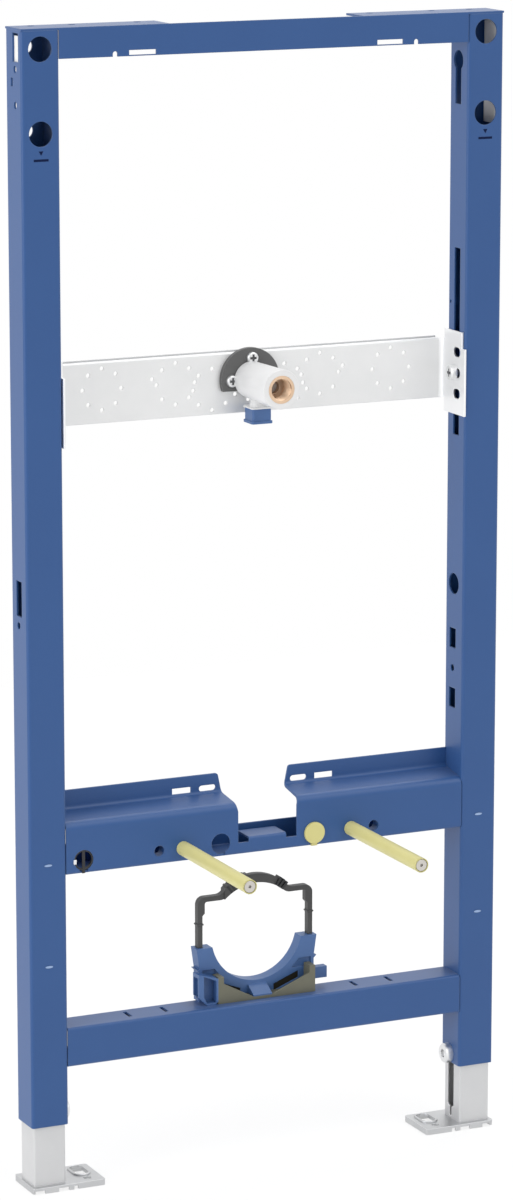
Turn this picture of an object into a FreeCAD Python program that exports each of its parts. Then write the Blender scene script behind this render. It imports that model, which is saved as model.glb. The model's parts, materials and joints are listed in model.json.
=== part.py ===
"""Wall-hung toilet frame: a painted steel frame on telescopic legs, in millimetres.

X runs to the right, Y to the back and Z up. The floor is z = 0 and the frame
is centred on x = 0, with the uprights centred on y = 0.
"""
import FreeCAD, Part
import os
import re

import Sketcher
from FreeCAD import Vector

doc = FreeCAD.newDocument("wall_hung_toilet_frame")
sheet = doc.addObject("Spreadsheet::Sheet", "Sizes")

# Driving dimensions, one cell each
SIZES = {
    # Frame and uprights
    "frame_width": 500,
    "frame_height": 1120,
    "tube_side": 38,
    "tube_wall": 2,
    "tube_round": 3,
    "upright_foot": 66,
    "anchor_hole_radius": 11.75,
    "anchor_hole_drop": 19,
    "anchor_hole_pitch": 78,
    "wall_hole_radius": 7,
    # Inner faces of the uprights
    "face_offset": 1.5,
    "hook_drop": 47.5,
    "hook_radius": 9.75,
    "hook_stem": 42,
    "slide_slot_length": 184,
    "slide_slot_width": 12,
    "slide_below": 62,
    "peep_rise": 130,
    "peep_radius": 1.75,
    "peep_inset": 3.5,
    "face_hole_drop": 149,
    "face_hole_radius": 10.5,
    "rect_slot_drop": 204,
    "rect_slot_pitch": 60.5,
    "rect_slot_width": 13,
    "rect_slot_height": 20,
    "small_hole_radius": 3.5,
    # Outer faces of the uprights
    "side_slot_drop": 17.75,
    "side_slot_place": 5,
    "side_slot_offset": 4,
    "side_slot_width": 13.5,
    "side_slot_height": 26.5,
    "side_hole_drop": 38,
    "side_low_hole_drop": 71,
    "side_window_drop": 50,
    "side_window_width": 5,
    "side_window_height": 8,
    "side_gate_drop": 123,
    "side_gate_height": 34,
    # Legs, feet and clamp screws
    "leg_gap": 0.5,
    "leg_wall": 2,
    "leg_length": 272,
    "leg_slot_width": 13,
    "leg_slit_width": 4.4,
    "leg_slot_foot": 20,
    "screw_offset": 3,
    "screw_rise": 9,
    "screw_shank_radius": 5,
    "screw_shank_length": 14,
    "screw_head_radius": 10,
    "screw_head_height": 7,
    "screw_head_round": 2.3,
    "screw_hex_radius": 4.6,
    "screw_hex_depth": 3.5,
    "foot_rise": 6,
    "foot_sheet": 2.5,
    "foot_reach": 75,
    "foot_front": 22,
    "foot_back": 28,
    "foot_slot_radius": 6.5,
    "foot_slot_length": 12,
    "foot_slot_inset": 15,
    "foot_slot_place": 10,
    "foot_eye_radius": 4,
    "foot_eye_place": 11.5,
    "foot_skirt": 28.5,
    "foot_gap": 4.5,
    "foot_tab": 5,
    "foot_wide_gap": 11,
    "foot_wide_tab": 14,
    # Top rail
    "rail_sheet": 2,
    "top_web": 28.6,
    "top_tab_start": 100,
    "top_slot_length": 27.5,
    "top_slot_height": 4.5,
    "top_slot_start": 114.5,
    "top_slot_rise": 1,
    "top_notch_place": 156,
    "top_notch_radius": 2.5,
    "top_hole_start": 21,
    "top_hole_inset": 25,
    "top_hole_back": 8,
    # Toilet crossbar
    "bar_foot": 314.5,
    "bar_web": 50.5,
    "bar_depth": 36,
    "bar_lip": 21,
    "bar_upstand": 24,
    "bar_bend": 8,
    "ledge_rise": 5,
    "crease_round": 4,
    "bend_round": 3,
    "notch_half": 31.5,
    "notch_flare": 7,
    "notch_sill": 11.5,
    "sill_half": 20,
    "sill_rise": 5,
    "sill_depth": 27,
    "stud_rise": 13,
    "stud_spacing": 180,
    "wide_spacing": 230,
    "wide_hole_radius": 5.5,
    "keyhole_spacing": 100,
    "end_keyhole_inset": 18,
    "keyhole_radius": 10,
    "keyhole_slot": 9,
    "window_rise": 10.2,
    "window_height": 6,
    "window_start": 40,
    "window_length": 18,
    "window_gap": 8.5,
    "outer_window_length": 20,
    # Studs, cap and clip
    "stud_radius": 6,
    "stud_reach": 153,
    "stud_tail": 13,
    "stud_tip_round": 0.8,
    "stud_centre_radius": 1.5,
    "stud_centre_depth": 3,
    "sleeve_wall": 1,
    "fit_gap": 0.1,
    "nut_height": 9,
    "nut_flats": 18,
    "cap_overlap": 0.8,
    "cap_height": 2,
    "cap_tail_width": 6,
    "cap_tail_height": 3,
    "clip_wall": 1.5,
    "clip_recess": 0.6,
    "clip_tongue": 3,
    # Bottom rail
    "low_rail_web": 39,
    "rail_lip": 9,
    "rail_slot_width": 4,
    "rail_slot_length": 16,
    "rail_slot_place": 103,
    "rail_slot_pitch": 38.5,
    # Mounting plate and its ears
    "plate_front": 25.5,
    "plate_sheet": 2,
    "plate_foot": 741,
    "plate_height": 59,
    "plate_lip": 6,
    "plate_bend": 4,
    "ring_radius": 20,
    "ring_hole_radius": 2.1,
    "ring_pitch": 76.5,
    "ring_rise": 3,
    "low_ring_drop": 8,
    "single_hole_place": 101,
    "single_hole_rise": 6,
    "slide_gap": 0.3,
    "ear_sheet": 2,
    "ear_drop": 13,
    "ear_height": 82,
    "ear_step": 16,
    "ear_front": 21,
    "ear_step_depth": 6,
    "ear_hole_place": 5,
    "ear_hole_width": 14,
    "ear_hole_height": 9.5,
    "ear_hole_pitch": 41,
    "ear_screw_rise": 28,
    "ear_screw_radius": 4,
    "ear_screw_head_radius": 7.5,
    "ear_screw_head_height": 4.5,
    "slide_nut_radius": 8,
    "slide_nut_height": 4,
    # Water connector
    "flange_radius": 30.6,
    "flange_flat": 10.5,
    "flange_height": 5,
    "socket_front": 49.5,
    "cone_back_radius": 14.5,
    "cone_front_radius": 19,
    "cone_collar": 9,
    "socket_radius": 13.4,
    "socket_depth": 24,
    "inlet_radius": 10.5,
    "inlet_depth": 18,
    "waterway_radius": 6,
    "spigot_place": 3.5,
    "spigot_radius": 7.5,
    "spigot_drop": 30,
    "spigot_flange": 1.6,
    "plug_side": 19,
    "plug_top_drop": 20.5,
    "plug_height": 22,
    "plug_rim": 1.2,
    "plug_corner": 2.5,
    "plug_rim_height": 2.5,
    # Waste-pipe clamp
    "waste_drop": 101,
    "pipe_radius": 49,
    "cradle_floor": 15.5,
    "arm_drop": 10.5,
    "cradle_side": 16,
    "cradle_waist": 3,
    "cradle_front": 6,
    "cradle_back": 20,
    "cradle_rim": 7,
    "cradle_edge": 3,
    "recess_depth": 2.5,
    "recess_drop": 22,
    "recess_rise": 23,
    "cell_inset": 8,
    "cell_lift": 2,
    "cell_climb": 10.5,
    "cell_height": 7,
    "cell_depth": 10,
    "nib_drop": 21,
    "nib_reach": 3,
    "boss_inset": 6.5,
    "boss_width": 21,
    "boss_height": 32,
    "boss_slant": 6,
    "boss_wall": 2,
    "boss_depth": 10,
    "boss_corner": 9,
    "boss_chamfer": 3,
    "channel_depth": 3.5,
    "catch_reach": 14.5,
    "catch_depth": 8,
    "catch_height": 11.5,
    "catch_rise": 8.5,
    "middle_half": 10,
    "ramp_rise": 9,
    "ramp_edge": 1.5,
    "saddle_inset": 8,
    "saddle_front": 8,
    "saddle_floor": 3,
    "saddle_wall": 2,
    "wing_height": 20,
    "post_height": 27,
    "post_width": 6,
    "strap_offset": 10.5,
    "strap_section": 5,
    "strap_depth": 7,
    "strap_dip": 8.5,
    "strap_crown": 9,
    "strap_arch_rise": 10.8,
    "strap_round": 8,
    "strap_valley": 10,
    "strap_foot": 15,
    "gusset_wall": 2.5,
    "gusset_drop": 14,
    "clasp_start": 8,
    "clasp_stop": 33.5,
    "clasp_proud": 1.5,
    "clasp_lift": 1.2,
}
for row, (alias, number) in enumerate(SIZES.items(), start=1):
    sheet.set(f"A{row}", alias)
    sheet.set(f"B{row}", str(number))
    sheet.setAlias(f"B{row}", alias)
doc.recompute()

# Derived places, as expressions over the sheet
INNER = "(frame_width / 2 - tube_side)"
AXIS = "(frame_width / 2 - tube_side / 2)"
FRONT = "(tube_side / 2)"
LEG_HALF = "(tube_side / 2 - tube_wall - leg_gap)"
SCREW_LEVEL = "(upright_foot + screw_rise)"
ANCHOR_LEVEL = "(frame_height - anchor_hole_drop)"
STUD_LEVEL = "(bar_foot + stud_rise)"
BAR_FOLD = "(bar_foot + bar_web)"
BAR_BACK = "(bar_depth - tube_side / 2)"
WASTE_LEVEL = f"({STUD_LEVEL} - waste_drop)"
LOW_RAIL_TOP = f"({WASTE_LEVEL} - pipe_radius - cradle_floor)"
LOW_RAIL_FOOT = f"({LOW_RAIL_TOP} - low_rail_web)"
ARM_TOP = f"({WASTE_LEVEL} - arm_drop)"
CRADLE_HALF = "(pipe_radius + cradle_side)"
ARM_WAIST = f"({CRADLE_HALF} - cradle_waist)"
BOSS_PLACE = f"({CRADLE_HALF} - boss_inset)"
SADDLE_HALF = f"({CRADLE_HALF} - saddle_inset)"
STRAP_PLACE = "(pipe_radius + strap_offset)"
STRAP_MIDDLE = "((cradle_front + cradle_back) / 2)"
PLATE_TOP = "(plate_foot + plate_height)"
RING_LEVEL = "(plate_foot + plate_height / 2 + ring_rise)"
EAR_FACE = "(frame_width / 2 - tube_side - slide_gap)"
EAR_FOOT = "(plate_foot - ear_drop)"
EAR_SCREW_LEVEL = "(plate_foot + ear_screw_rise)"
PLATE_REACH = f"({EAR_FACE} - ear_sheet - plate_bend)"
SLIDE_FOOT = f"({EAR_SCREW_LEVEL} - slide_below)"
FLANGE_FRONT = "(plate_front - flange_height)"
SIDES = {"left": -1, "right": 1}
WORD = re.compile(r"[a-z_]+")
TINY = 0.01

parts = []


def cells(text):
    """Write an expression with every alias pointing at the sheet."""
    return WORD.sub(lambda word: f"Sizes.{word[0]}" if word[0] in SIZES else word[0], str(text))


def value(text):
    """The present number behind an expression."""
    return float(sheet.evalExpression(cells(text)))


def new_body(label):
    body = doc.addObject("PartDesign::Body", label)
    body.Label = label
    parts.append(body)
    return body


def sketch_on(body, role, offset="0"):
    """A sketch on one of the body's own planes, moved along the plane's normal."""
    plane = next(item for item in body.Origin.OriginFeatures if item.Role == role)
    sketch = body.newObject("Sketcher::SketchObject", f"{body.Name}_sketch")
    sketch.AttachmentSupport = (plane, [""])
    sketch.MapMode = "FlatFace"
    sketch.setExpression("AttachmentOffset.Base.z", cells(offset))
    return sketch


def front_sketch(body, y):
    """A sketch in X and Z at the given Y. Pads grow to the front, pockets cut to the back."""
    return sketch_on(body, "XZ_Plane", f"-1 * ({y})")


def side_sketch(body, x):
    """A sketch in Y and Z at the given X. Pads grow to +X, pockets cut to -X."""
    return sketch_on(body, "YZ_Plane", x)


def level_sketch(body, z):
    """A sketch in X and Y at the given Z. Pads grow up, pockets cut down."""
    return sketch_on(body, "XY_Plane", z)


def drive(sketch, constraint, text):
    """Add a dimension and bind it to the sheet."""
    index = sketch.addConstraint(constraint)
    sketch.setExpression(f"Constraints[{index}]", cells(text))


def pin(sketch, geometry, vertex, x, y):
    """Fix a point of the sketch at bound distances from its origin."""
    drive(sketch, Sketcher.Constraint("DistanceX", -1, 1, geometry, vertex, value(x)), x)
    drive(sketch, Sketcher.Constraint("DistanceY", -1, 1, geometry, vertex, value(y)), y)


def outline(sketch, corners):
    """A closed outline. A corner (x, y, radius) starts an arc that turns left when radius > 0."""
    first = sketch.GeometryCount
    count = len(corners)
    points = [Vector(value(corner[0]), value(corner[1]), 0) for corner in corners]
    ends = []
    for index, corner in enumerate(corners):
        start, stop = points[index], points[(index + 1) % count]
        if len(corner) == 2:
            sketch.addGeometry(Part.LineSegment(start, stop), False)
            ends.append((1, 2))
            continue
        radius = value(corner[2])
        chord = stop - start
        left = Vector(-chord.y, chord.x, 0).normalize()
        turn = 1 if radius > 0 else -1
        rise = max(radius ** 2 - chord.Length ** 2 / 4, 0) ** 0.5
        middle = (start + stop) * 0.5 + left * turn * (rise - abs(radius))
        sketch.addGeometry(Part.ArcOfCircle(start, middle, stop), False)
        ends.append((1, 2) if turn > 0 else (2, 1))
    for index in range(count):
        after = (index + 1) % count
        here, there = first + index, first + after
        sketch.addConstraint(Sketcher.Constraint("Coincident", here, ends[index][1], there, ends[after][0]))
    for index, corner in enumerate(corners):
        pin(sketch, first + index, ends[index][0], corner[0], corner[1])
        if len(corner) == 3:
            length = f"abs({corner[2]})"
            drive(sketch, Sketcher.Constraint("Radius", first + index, value(length)), length)


def rectangle(sketch, x_low, x_high, y_low, y_high):
    outline(sketch, [(x_low, y_low), (x_high, y_low), (x_high, y_high), (x_low, y_high)])


def sided_rectangle(sketch, side, x_near, x_far, y_low, y_high):
    """A rectangle between two distances from the middle, on one side of it."""
    low, high = (x_near, x_far) if side > 0 else (f"-1 * ({x_far})", f"-1 * ({x_near})")
    rectangle(sketch, low, high, y_low, y_high)


def centred(sketch, x, y, width, height):
    """A rectangle round a centre."""
    rectangle(sketch, f"{x} - {width} / 2", f"{x} + {width} / 2",
              f"{y} - {height} / 2", f"{y} + {height} / 2")


def circle(sketch, x, y, radius):
    centre = Vector(value(x), value(y), 0)
    geometry = sketch.addGeometry(Part.Circle(centre, Vector(0, 0, 1), value(radius)), False)
    pin(sketch, geometry, 3, x, y)
    drive(sketch, Sketcher.Constraint("Radius", geometry, value(radius)), radius)


def slot(sketch, start, stop, radius):
    """A slot with round ends between two end centres."""
    first = sketch.GeometryCount
    low, high = (Vector(value(x), value(y), 0) for x, y in (start, stop))
    along = (high - low).normalize() * value(radius)
    across = Vector(along.y, -along.x, 0)
    sketch.addGeometry(Part.ArcOfCircle(high + across, high + along, high - across), False)
    sketch.addGeometry(Part.LineSegment(high - across, low - across), False)
    sketch.addGeometry(Part.ArcOfCircle(low - across, low - along, low + across), False)
    sketch.addGeometry(Part.LineSegment(low + across, high + across), False)
    for index in range(4):
        sketch.addConstraint(Sketcher.Constraint("Tangent", first + index, 2, first + (index + 1) % 4, 1))
    sketch.addConstraint(Sketcher.Constraint("Equal", first, first + 2))
    pin(sketch, first, 3, *stop)
    pin(sketch, first + 2, 3, *start)
    drive(sketch, Sketcher.Constraint("Radius", first, value(radius)), radius)


def hexagon(sketch, x, y, radius):
    """A regular hexagon with two corners level with its centre."""
    corners = [(1, 0), (0.5, 1), (-0.5, 1), (-1, 0), (-0.5, -1), (0.5, -1)]
    outline(sketch, [(f"{x} + {a} * {radius}", f"{y} + {b} * {radius} * sqrt(3) / 2") for a, b in corners])


def feature(body, kind, sketch, settings):
    """Add a sketch-based feature with bound lengths."""
    item = body.newObject(f"PartDesign::{kind}", f"{body.Name}_{kind.lower()}")
    item.Profile = sketch
    for name, text in settings.items():
        item.setExpression(name, cells(text))
    doc.recompute()
    return item


def pad(body, sketch, length):
    return feature(body, "Pad", sketch, {"Length": length})


def pocket(body, sketch, length):
    before = body.Tip.Shape.Volume
    item = feature(body, "Pocket", sketch, {"Length": length})
    if item.Shape.Volume >= before:
        raise RuntimeError(f"{item.Name} cuts nothing")
    return item


def round_edges(body, radius, chosen):
    """Round the edges of the body's last shape that the test picks."""
    base = body.Tip
    names = [f"Edge{number}" for number, edge in enumerate(base.Shape.Edges, 1) if chosen(edge)]
    item = body.newObject("PartDesign::Fillet", f"{body.Name}_fillet")
    item.Base = (base, names)
    item.setExpression("Radius", cells(radius))
    doc.recompute()
    return item


def runs_along(edge, axis):
    start, stop = edge.Vertexes[0].Point, edge.Vertexes[-1].Point
    return abs((stop - start).dot(axis)) > 0.99 * edge.Length


def is_upright(edge):
    return runs_along(edge, Vector(0, 0, 1))


def along_x(*places):
    """A test for edges along X that pass through one of the (y, z) places."""
    spots = [(value(y), value(z)) for y, z in places]

    def test(edge):
        middle = edge.BoundBox.Center
        near = any(abs(middle.y - y) < TINY and abs(middle.z - z) < TINY for y, z in spots)
        return near and runs_along(edge, Vector(1, 0, 0))
    return test


def along_y(*places):
    """A test for edges along Y that pass through one of the (x, z) places or its mirror image."""
    spots = [(abs(value(x)), value(z)) for x, z in places]

    def test(edge):
        middle = edge.BoundBox.Center
        near = any(abs(abs(middle.x) - x) < TINY and abs(middle.z - z) < TINY for x, z in spots)
        return near and runs_along(edge, Vector(0, 1, 0))
    return test


def upright(side, label):
    """Square tube, open below for the leg, with its anchor holes, keyhole and slots."""
    body = new_body(label)
    x = f"{side} * {AXIS}"
    tube = level_sketch(body, "upright_foot")
    centred(tube, x, "0", "tube_side", "tube_side")
    pad(body, tube, "frame_height - rail_sheet - upright_foot")
    round_edges(body, "tube_round", is_upright)
    bore = level_sketch(body, "frame_height")
    hollow = "(tube_side - 2 * tube_wall)"
    centred(bore, x, "0", hollow, hollow)
    pocket(body, bore, "frame_height")

    holes = front_sketch(body, f"-{FRONT}")
    anchors = front_sketch(body, f"{FRONT} - tube_wall")
    for drop in ("0", "anchor_hole_pitch"):
        circle(holes, x, f"{ANCHOR_LEVEL} - {drop}", "anchor_hole_radius")
        circle(anchors, x, f"{ANCHOR_LEVEL} - {drop}", "wall_hole_radius")
    pocket(body, holes, "tube_wall")
    pocket(body, anchors, "tube_wall")

    inner_high = f"{INNER} + tube_wall" if side > 0 else f"-{INNER}"
    inner = side_sketch(body, inner_high)
    hook = "frame_height - hook_drop"
    circle(inner, "face_offset", hook, "hook_radius")
    centred(inner, "0", f"({SLIDE_FOOT} + slide_slot_length / 2)", "slide_slot_width", "slide_slot_length")
    peep = f"{FRONT} - tube_wall - peep_inset"
    circle(inner, peep, f"{SLIDE_FOOT} + peep_rise", "peep_radius")
    circle(inner, "face_offset", f"{SLIDE_FOOT} - face_hole_drop", "face_hole_radius")
    for count in (0, 1):
        level = f"({SLIDE_FOOT} - rect_slot_drop - {count} * rect_slot_pitch)"
        centred(inner, "screw_offset", level, "rect_slot_width", "rect_slot_height")
    circle(inner, "screw_offset", f"{SLIDE_FOOT} - rect_slot_drop - rect_slot_pitch / 2", "small_hole_radius")
    circle(inner, "screw_offset", SCREW_LEVEL, "screw_shank_radius + leg_gap")
    pocket(body, inner, "tube_wall")
    stem = side_sketch(body, inner_high)
    rectangle(stem, "face_offset - slide_slot_width / 2", "face_offset + slide_slot_width / 2",
              f"{hook} - hook_stem", hook)
    pocket(body, stem, "tube_wall")

    outer = side_sketch(body, "frame_width / 2" if side > 0 else "tube_wall - frame_width / 2")
    centred(outer, "-side_slot_place", "(frame_height - side_slot_drop)",
            "side_slot_width", "side_slot_height")
    for drop in ("side_hole_drop", "side_low_hole_drop"):
        circle(outer, "-side_slot_offset", f"frame_height - {drop}", "small_hole_radius")
    centred(outer, "side_slot_offset", "(frame_height - side_window_drop)",
            "side_window_width", "side_window_height")
    centred(outer, "0", f"({SLIDE_FOOT} - side_gate_drop)", "rect_slot_width", "side_gate_height")
    circle(outer, "face_offset", f"{SLIDE_FOOT} - face_hole_drop", "small_hole_radius")
    pocket(body, outer, "tube_wall")


def leg(side, label):
    """Square tube that slides in the upright, slotted for the clamp screw."""
    body = new_body(label)
    x = f"{side} * {AXIS}"
    tube = level_sketch(body, "foot_rise")
    centred(tube, x, "0", f"(2 * {LEG_HALF})", f"(2 * {LEG_HALF})")
    pad(body, tube, "leg_length")
    round_edges(body, "tube_round - tube_wall / 2", is_upright)
    top = "foot_rise + leg_length"
    bore = level_sketch(body, top)
    hollow = f"(2 * {LEG_HALF} - 2 * leg_wall)"
    centred(bore, x, "0", hollow, hollow)
    pocket(body, bore, "leg_length")
    face = f"{AXIS} - {LEG_HALF}"
    cut = side_sketch(body, f"{face} + leg_wall" if side > 0 else f"-1 * ({face})")
    half, slit = "leg_slot_width / 2", "leg_slit_width / 2"
    low, shoulder, over = "foot_rise + foot_sheet", f"leg_slot_foot - {slit}", f"{top} + leg_wall"
    outline(cut, [
        (f"screw_offset - {slit}", low), (f"screw_offset + {slit}", low),
        (f"screw_offset + {slit}", shoulder), (f"screw_offset + {half}", "leg_slot_foot"),
        (f"screw_offset + {half}", over), (f"screw_offset - {half}", over),
        (f"screw_offset - {half}", "leg_slot_foot"), (f"screw_offset - {slit}", shoulder)])
    pocket(body, cut, "leg_wall")


def foot_plate(side, label):
    """Pressed plate under the leg, with turned-down skirts and a slot for the floor bolt."""
    body = new_body(label)
    near, far = "(frame_width / 2 - foot_reach)", "(frame_width / 2)"
    plate = level_sketch(body, "0")
    sided_rectangle(plate, side, near, far, "-foot_front", "foot_back")
    pad(body, plate, "foot_rise")
    round_edges(body, "foot_sheet", is_upright)
    under = level_sketch(body, "foot_rise - foot_sheet")
    sided_rectangle(under, side, f"{near} + foot_sheet", f"{far} - foot_sheet",
                    "foot_sheet - foot_front", "foot_back - foot_sheet")
    pocket(body, under, "foot_rise")
    holes = level_sketch(body, "foot_rise")
    middle = f"{side} * ({near} + foot_slot_inset)"
    slot(holes, (middle, "foot_slot_place - foot_slot_length / 2"),
         (middle, "foot_slot_place + foot_slot_length / 2"), "foot_slot_radius")
    circle(holes, middle, "-foot_eye_place", "foot_eye_radius")
    pocket(body, holes, "foot_rise")
    tab_start = f"({near} + foot_skirt + foot_gap)"
    wide_start = f"({tab_start} + foot_tab + foot_wide_gap)"
    gaps = [(f"{near} + foot_skirt", tab_start), (f"{tab_start} + foot_tab", wide_start),
            (f"{wide_start} + foot_wide_tab", far)]
    for start, stop in gaps:
        gap = front_sketch(body, "-foot_front")
        sided_rectangle(gap, side, start, stop, "-foot_rise", "foot_rise - foot_sheet")
        pocket(body, gap, "foot_sheet")


def clamp_screw(side, label):
    """Round-headed screw with a hex socket that clamps the leg."""
    body = new_body(label)
    face = f"{INNER}" if side > 0 else f"-{INNER}"
    head = side_sketch(body, f"{face} - screw_head_height" if side > 0 else face)
    circle(head, "screw_offset", SCREW_LEVEL, "screw_head_radius")
    pad(body, head, "screw_head_height")
    crown = value(INNER) - value("screw_head_height")
    round_edges(body, "screw_head_round", lambda edge: abs(abs(edge.BoundBox.Center.x) - crown) < TINY)
    shank = side_sketch(body, face if side > 0 else f"{face} - screw_shank_length")
    circle(shank, "screw_offset", SCREW_LEVEL, "screw_shank_radius")
    pad(body, shank, "screw_shank_length")
    floor = f"{face} - screw_head_height + screw_hex_depth"
    socket = side_sketch(body, floor if side > 0 else f"{face} + screw_head_height")
    hexagon(socket, "screw_offset", SCREW_LEVEL, "screw_hex_radius")
    pocket(body, socket, "screw_hex_depth")


def top_rail():
    """Plain web across the top with a flange at each end that closes the upright."""
    body = new_body("top_rail")
    web = front_sketch(body, f"rail_sheet - {FRONT}")
    foot = "frame_height - top_web"
    rectangle(web, f"-{INNER}", INNER, foot, "frame_height")
    pad(body, web, "rail_sheet")
    tabs = level_sketch(body, "frame_height - rail_sheet")
    slots = front_sketch(body, f"-{FRONT}")
    holes = level_sketch(body, "frame_height")
    for side in SIDES.values():
        sided_rectangle(tabs, side, "top_tab_start", "frame_width / 2", f"-{FRONT}", FRONT)
        low = f"{foot} + top_slot_rise"
        sided_rectangle(slots, side, "top_slot_start", "top_slot_start + top_slot_length",
                        low, f"{low} + top_slot_height")
        notch = f"{side} * top_notch_place"
        slot(slots, (notch, f"{foot} - top_notch_radius"), (notch, f"{foot} + top_notch_radius"),
             "top_notch_radius")
        places = ("top_tab_start + top_hole_start", f"{INNER} - top_hole_inset", f"{AXIS} - screw_offset")
        for place in places:
            circle(holes, f"{side} * ({place})", f"{FRONT} - top_hole_back", "small_hole_radius")
    pad(body, tabs, "rail_sheet")
    pocket(body, slots, "rail_sheet")
    pocket(body, holes, "rail_sheet")


def crossbar():
    """Folded bar that carries the toilet studs, with the flush-pipe notch in its middle."""
    body = new_body("wc_crossbar")
    section = side_sketch(body, f"-{INNER}")
    front, back, inside = f"-{FRONT}", BAR_BACK, f"rail_sheet - {FRONT}"
    lining = f"({back} - rail_sheet)"
    lip, top = "bar_foot + bar_lip", f"{BAR_FOLD} + bar_upstand"
    floor, under = "bar_foot + rail_sheet", f"{BAR_FOLD} - rail_sheet"
    crease, crease_under = f"{BAR_FOLD} + ledge_rise", f"{under} + ledge_rise"
    outline(section, [
        (back, lip), (lining, lip), (lining, floor), (inside, floor), (inside, under), (back, crease_under),
        (back, top), (lining, top), (lining, crease), (front, BAR_FOLD),
        (front, "bar_foot"), (back, "bar_foot")])
    pad(body, section, f"2 * {INNER}")
    round_edges(body, "crease_round", along_x((lining, crease)))
    round_edges(body, "crease_round + rail_sheet", along_x((back, crease_under)))
    round_edges(body, "bar_bend", along_x((front, BAR_FOLD)))
    round_edges(body, "bar_bend - rail_sheet", along_x((inside, under)))
    round_edges(body, "bend_round", along_x((front, "bar_foot"), (back, "bar_foot")))
    round_edges(body, "bend_round - rail_sheet", along_x((inside, floor), (lining, floor)))

    sill_level = "bar_foot + notch_sill"
    web_gap = front_sketch(body, front)
    rectangle(web_gap, "-notch_half", "notch_half", sill_level, f"{BAR_FOLD} + rail_sheet")
    pocket(body, web_gap, "bar_bend + rail_sheet")
    notch = front_sketch(body, front)
    wide, low = "(notch_half + notch_flare)", f"{BAR_FOLD} - bar_bend"
    over = f"{top} + rail_sheet"
    outline(notch, [("-notch_half", low), ("notch_half", low), (wide, over), (f"-{wide}", over)])
    pocket(body, notch, "bar_depth + rail_sheet")
    mouth = "notch_half + notch_flare * (bar_upstand + bar_bend) / (bar_upstand + bar_bend + rail_sheet)"
    round_edges(body, "bend_round", along_y((mouth, top)))
    sill = side_sketch(body, "-sill_half")
    sill_top = f"({sill_level} + sill_rise)"
    sill_under, sill_back = f"{sill_top} - rail_sheet", f"sill_depth - {FRONT}"
    outline(sill, [
        (front, f"{sill_level} - rail_sheet"), (inside, f"{sill_level} - rail_sheet"), (inside, sill_under),
        (sill_back, sill_under), (sill_back, sill_top), (front, sill_top)])
    pad(body, sill, "2 * sill_half")
    round_edges(body, "bend_round", along_x((front, sill_top)))
    round_edges(body, "bend_round - rail_sheet", along_x((inside, sill_under)))

    holes = front_sketch(body, front)
    slits = front_sketch(body, front)
    windows = front_sketch(body, f"{back} - 2 * rail_sheet")
    level, radius = f"({BAR_FOLD} + window_rise)", "window_height / 2"
    for side in SIDES.values():
        circle(holes, f"{side} * stud_spacing / 2", STUD_LEVEL, "stud_radius + fit_gap")
        circle(holes, f"{side} * wide_spacing / 2", STUD_LEVEL, "wide_hole_radius")
        slot(windows, (f"{side} * (window_start + {radius})", level),
             (f"{side} * (window_start + window_length - {radius})", level), radius)
        start = "window_start + window_length + window_gap"
        sided_rectangle(windows, side, start, f"{start} + outer_window_length",
                        f"{level} - {radius}", f"{level} + {radius}")
    for place in (f"(end_keyhole_inset - {INNER})", "(-1 * keyhole_spacing / 2)", "(keyhole_spacing / 2)"):
        circle(holes, place, STUD_LEVEL, "keyhole_radius")
        rectangle(slits, f"{place} - keyhole_slot / 2", f"{place} + keyhole_slot / 2",
                  "bar_foot - rail_sheet", STUD_LEVEL)
    pocket(body, holes, "rail_sheet")
    pocket(body, slits, "rail_sheet")
    pocket(body, windows, "2 * rail_sheet")


def low_rail():
    """Channel across the bottom, with its lips to the back, that carries the waste clamp."""
    body = new_body("bottom_rail")
    section = side_sketch(body, f"-{INNER}")
    front, back, inside = f"-{FRONT}", BAR_BACK, f"rail_sheet - {FRONT}"
    lining = f"({back} - rail_sheet)"
    floor, under = f"{LOW_RAIL_FOOT} + rail_sheet", f"{LOW_RAIL_TOP} - rail_sheet"
    low_lip, high_lip = f"{LOW_RAIL_FOOT} + rail_lip", f"{LOW_RAIL_TOP} - rail_lip"
    outline(section, [
        (back, LOW_RAIL_FOOT), (back, low_lip), (lining, low_lip), (lining, floor), (inside, floor),
        (inside, under), (lining, under), (lining, high_lip), (back, high_lip),
        (back, LOW_RAIL_TOP), (front, LOW_RAIL_TOP), (front, LOW_RAIL_FOOT)])
    pad(body, section, f"2 * {INNER}")
    bends = [(face, level) for face in (front, back) for level in (LOW_RAIL_TOP, LOW_RAIL_FOOT)]
    linings = [(face, level) for face in (inside, lining) for level in (under, floor)]
    round_edges(body, "bend_round", along_x(*bends))
    round_edges(body, "bend_round - rail_sheet", along_x(*linings))
    slots = level_sketch(body, LOW_RAIL_TOP)
    for side in SIDES.values():
        for count in (0, 1):
            place = f"{side} * (rail_slot_place + {count} * rail_slot_pitch)"
            centred(slots, place, "0", "rail_slot_width", "rail_slot_length")
    pocket(body, slots, "rail_sheet")


def stud(side, label):
    """Threaded stud through the crossbar, with a centred tip."""
    body = new_body(label)
    x = f"{side} * stud_spacing / 2"
    shaft = front_sketch(body, f"stud_tail - {FRONT}")
    circle(shaft, x, STUD_LEVEL, "stud_radius")
    pad(body, shaft, "stud_tail + stud_reach - fit_gap")
    tip = f"fit_gap - {FRONT} - stud_reach"
    tip_place = value(tip)
    round_edges(body, "stud_tip_round", lambda edge: abs(edge.BoundBox.Center.y - tip_place) < TINY)
    centre = front_sketch(body, tip)
    circle(centre, x, STUD_LEVEL, "stud_centre_radius")
    pocket(body, centre, "stud_centre_depth")


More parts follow.
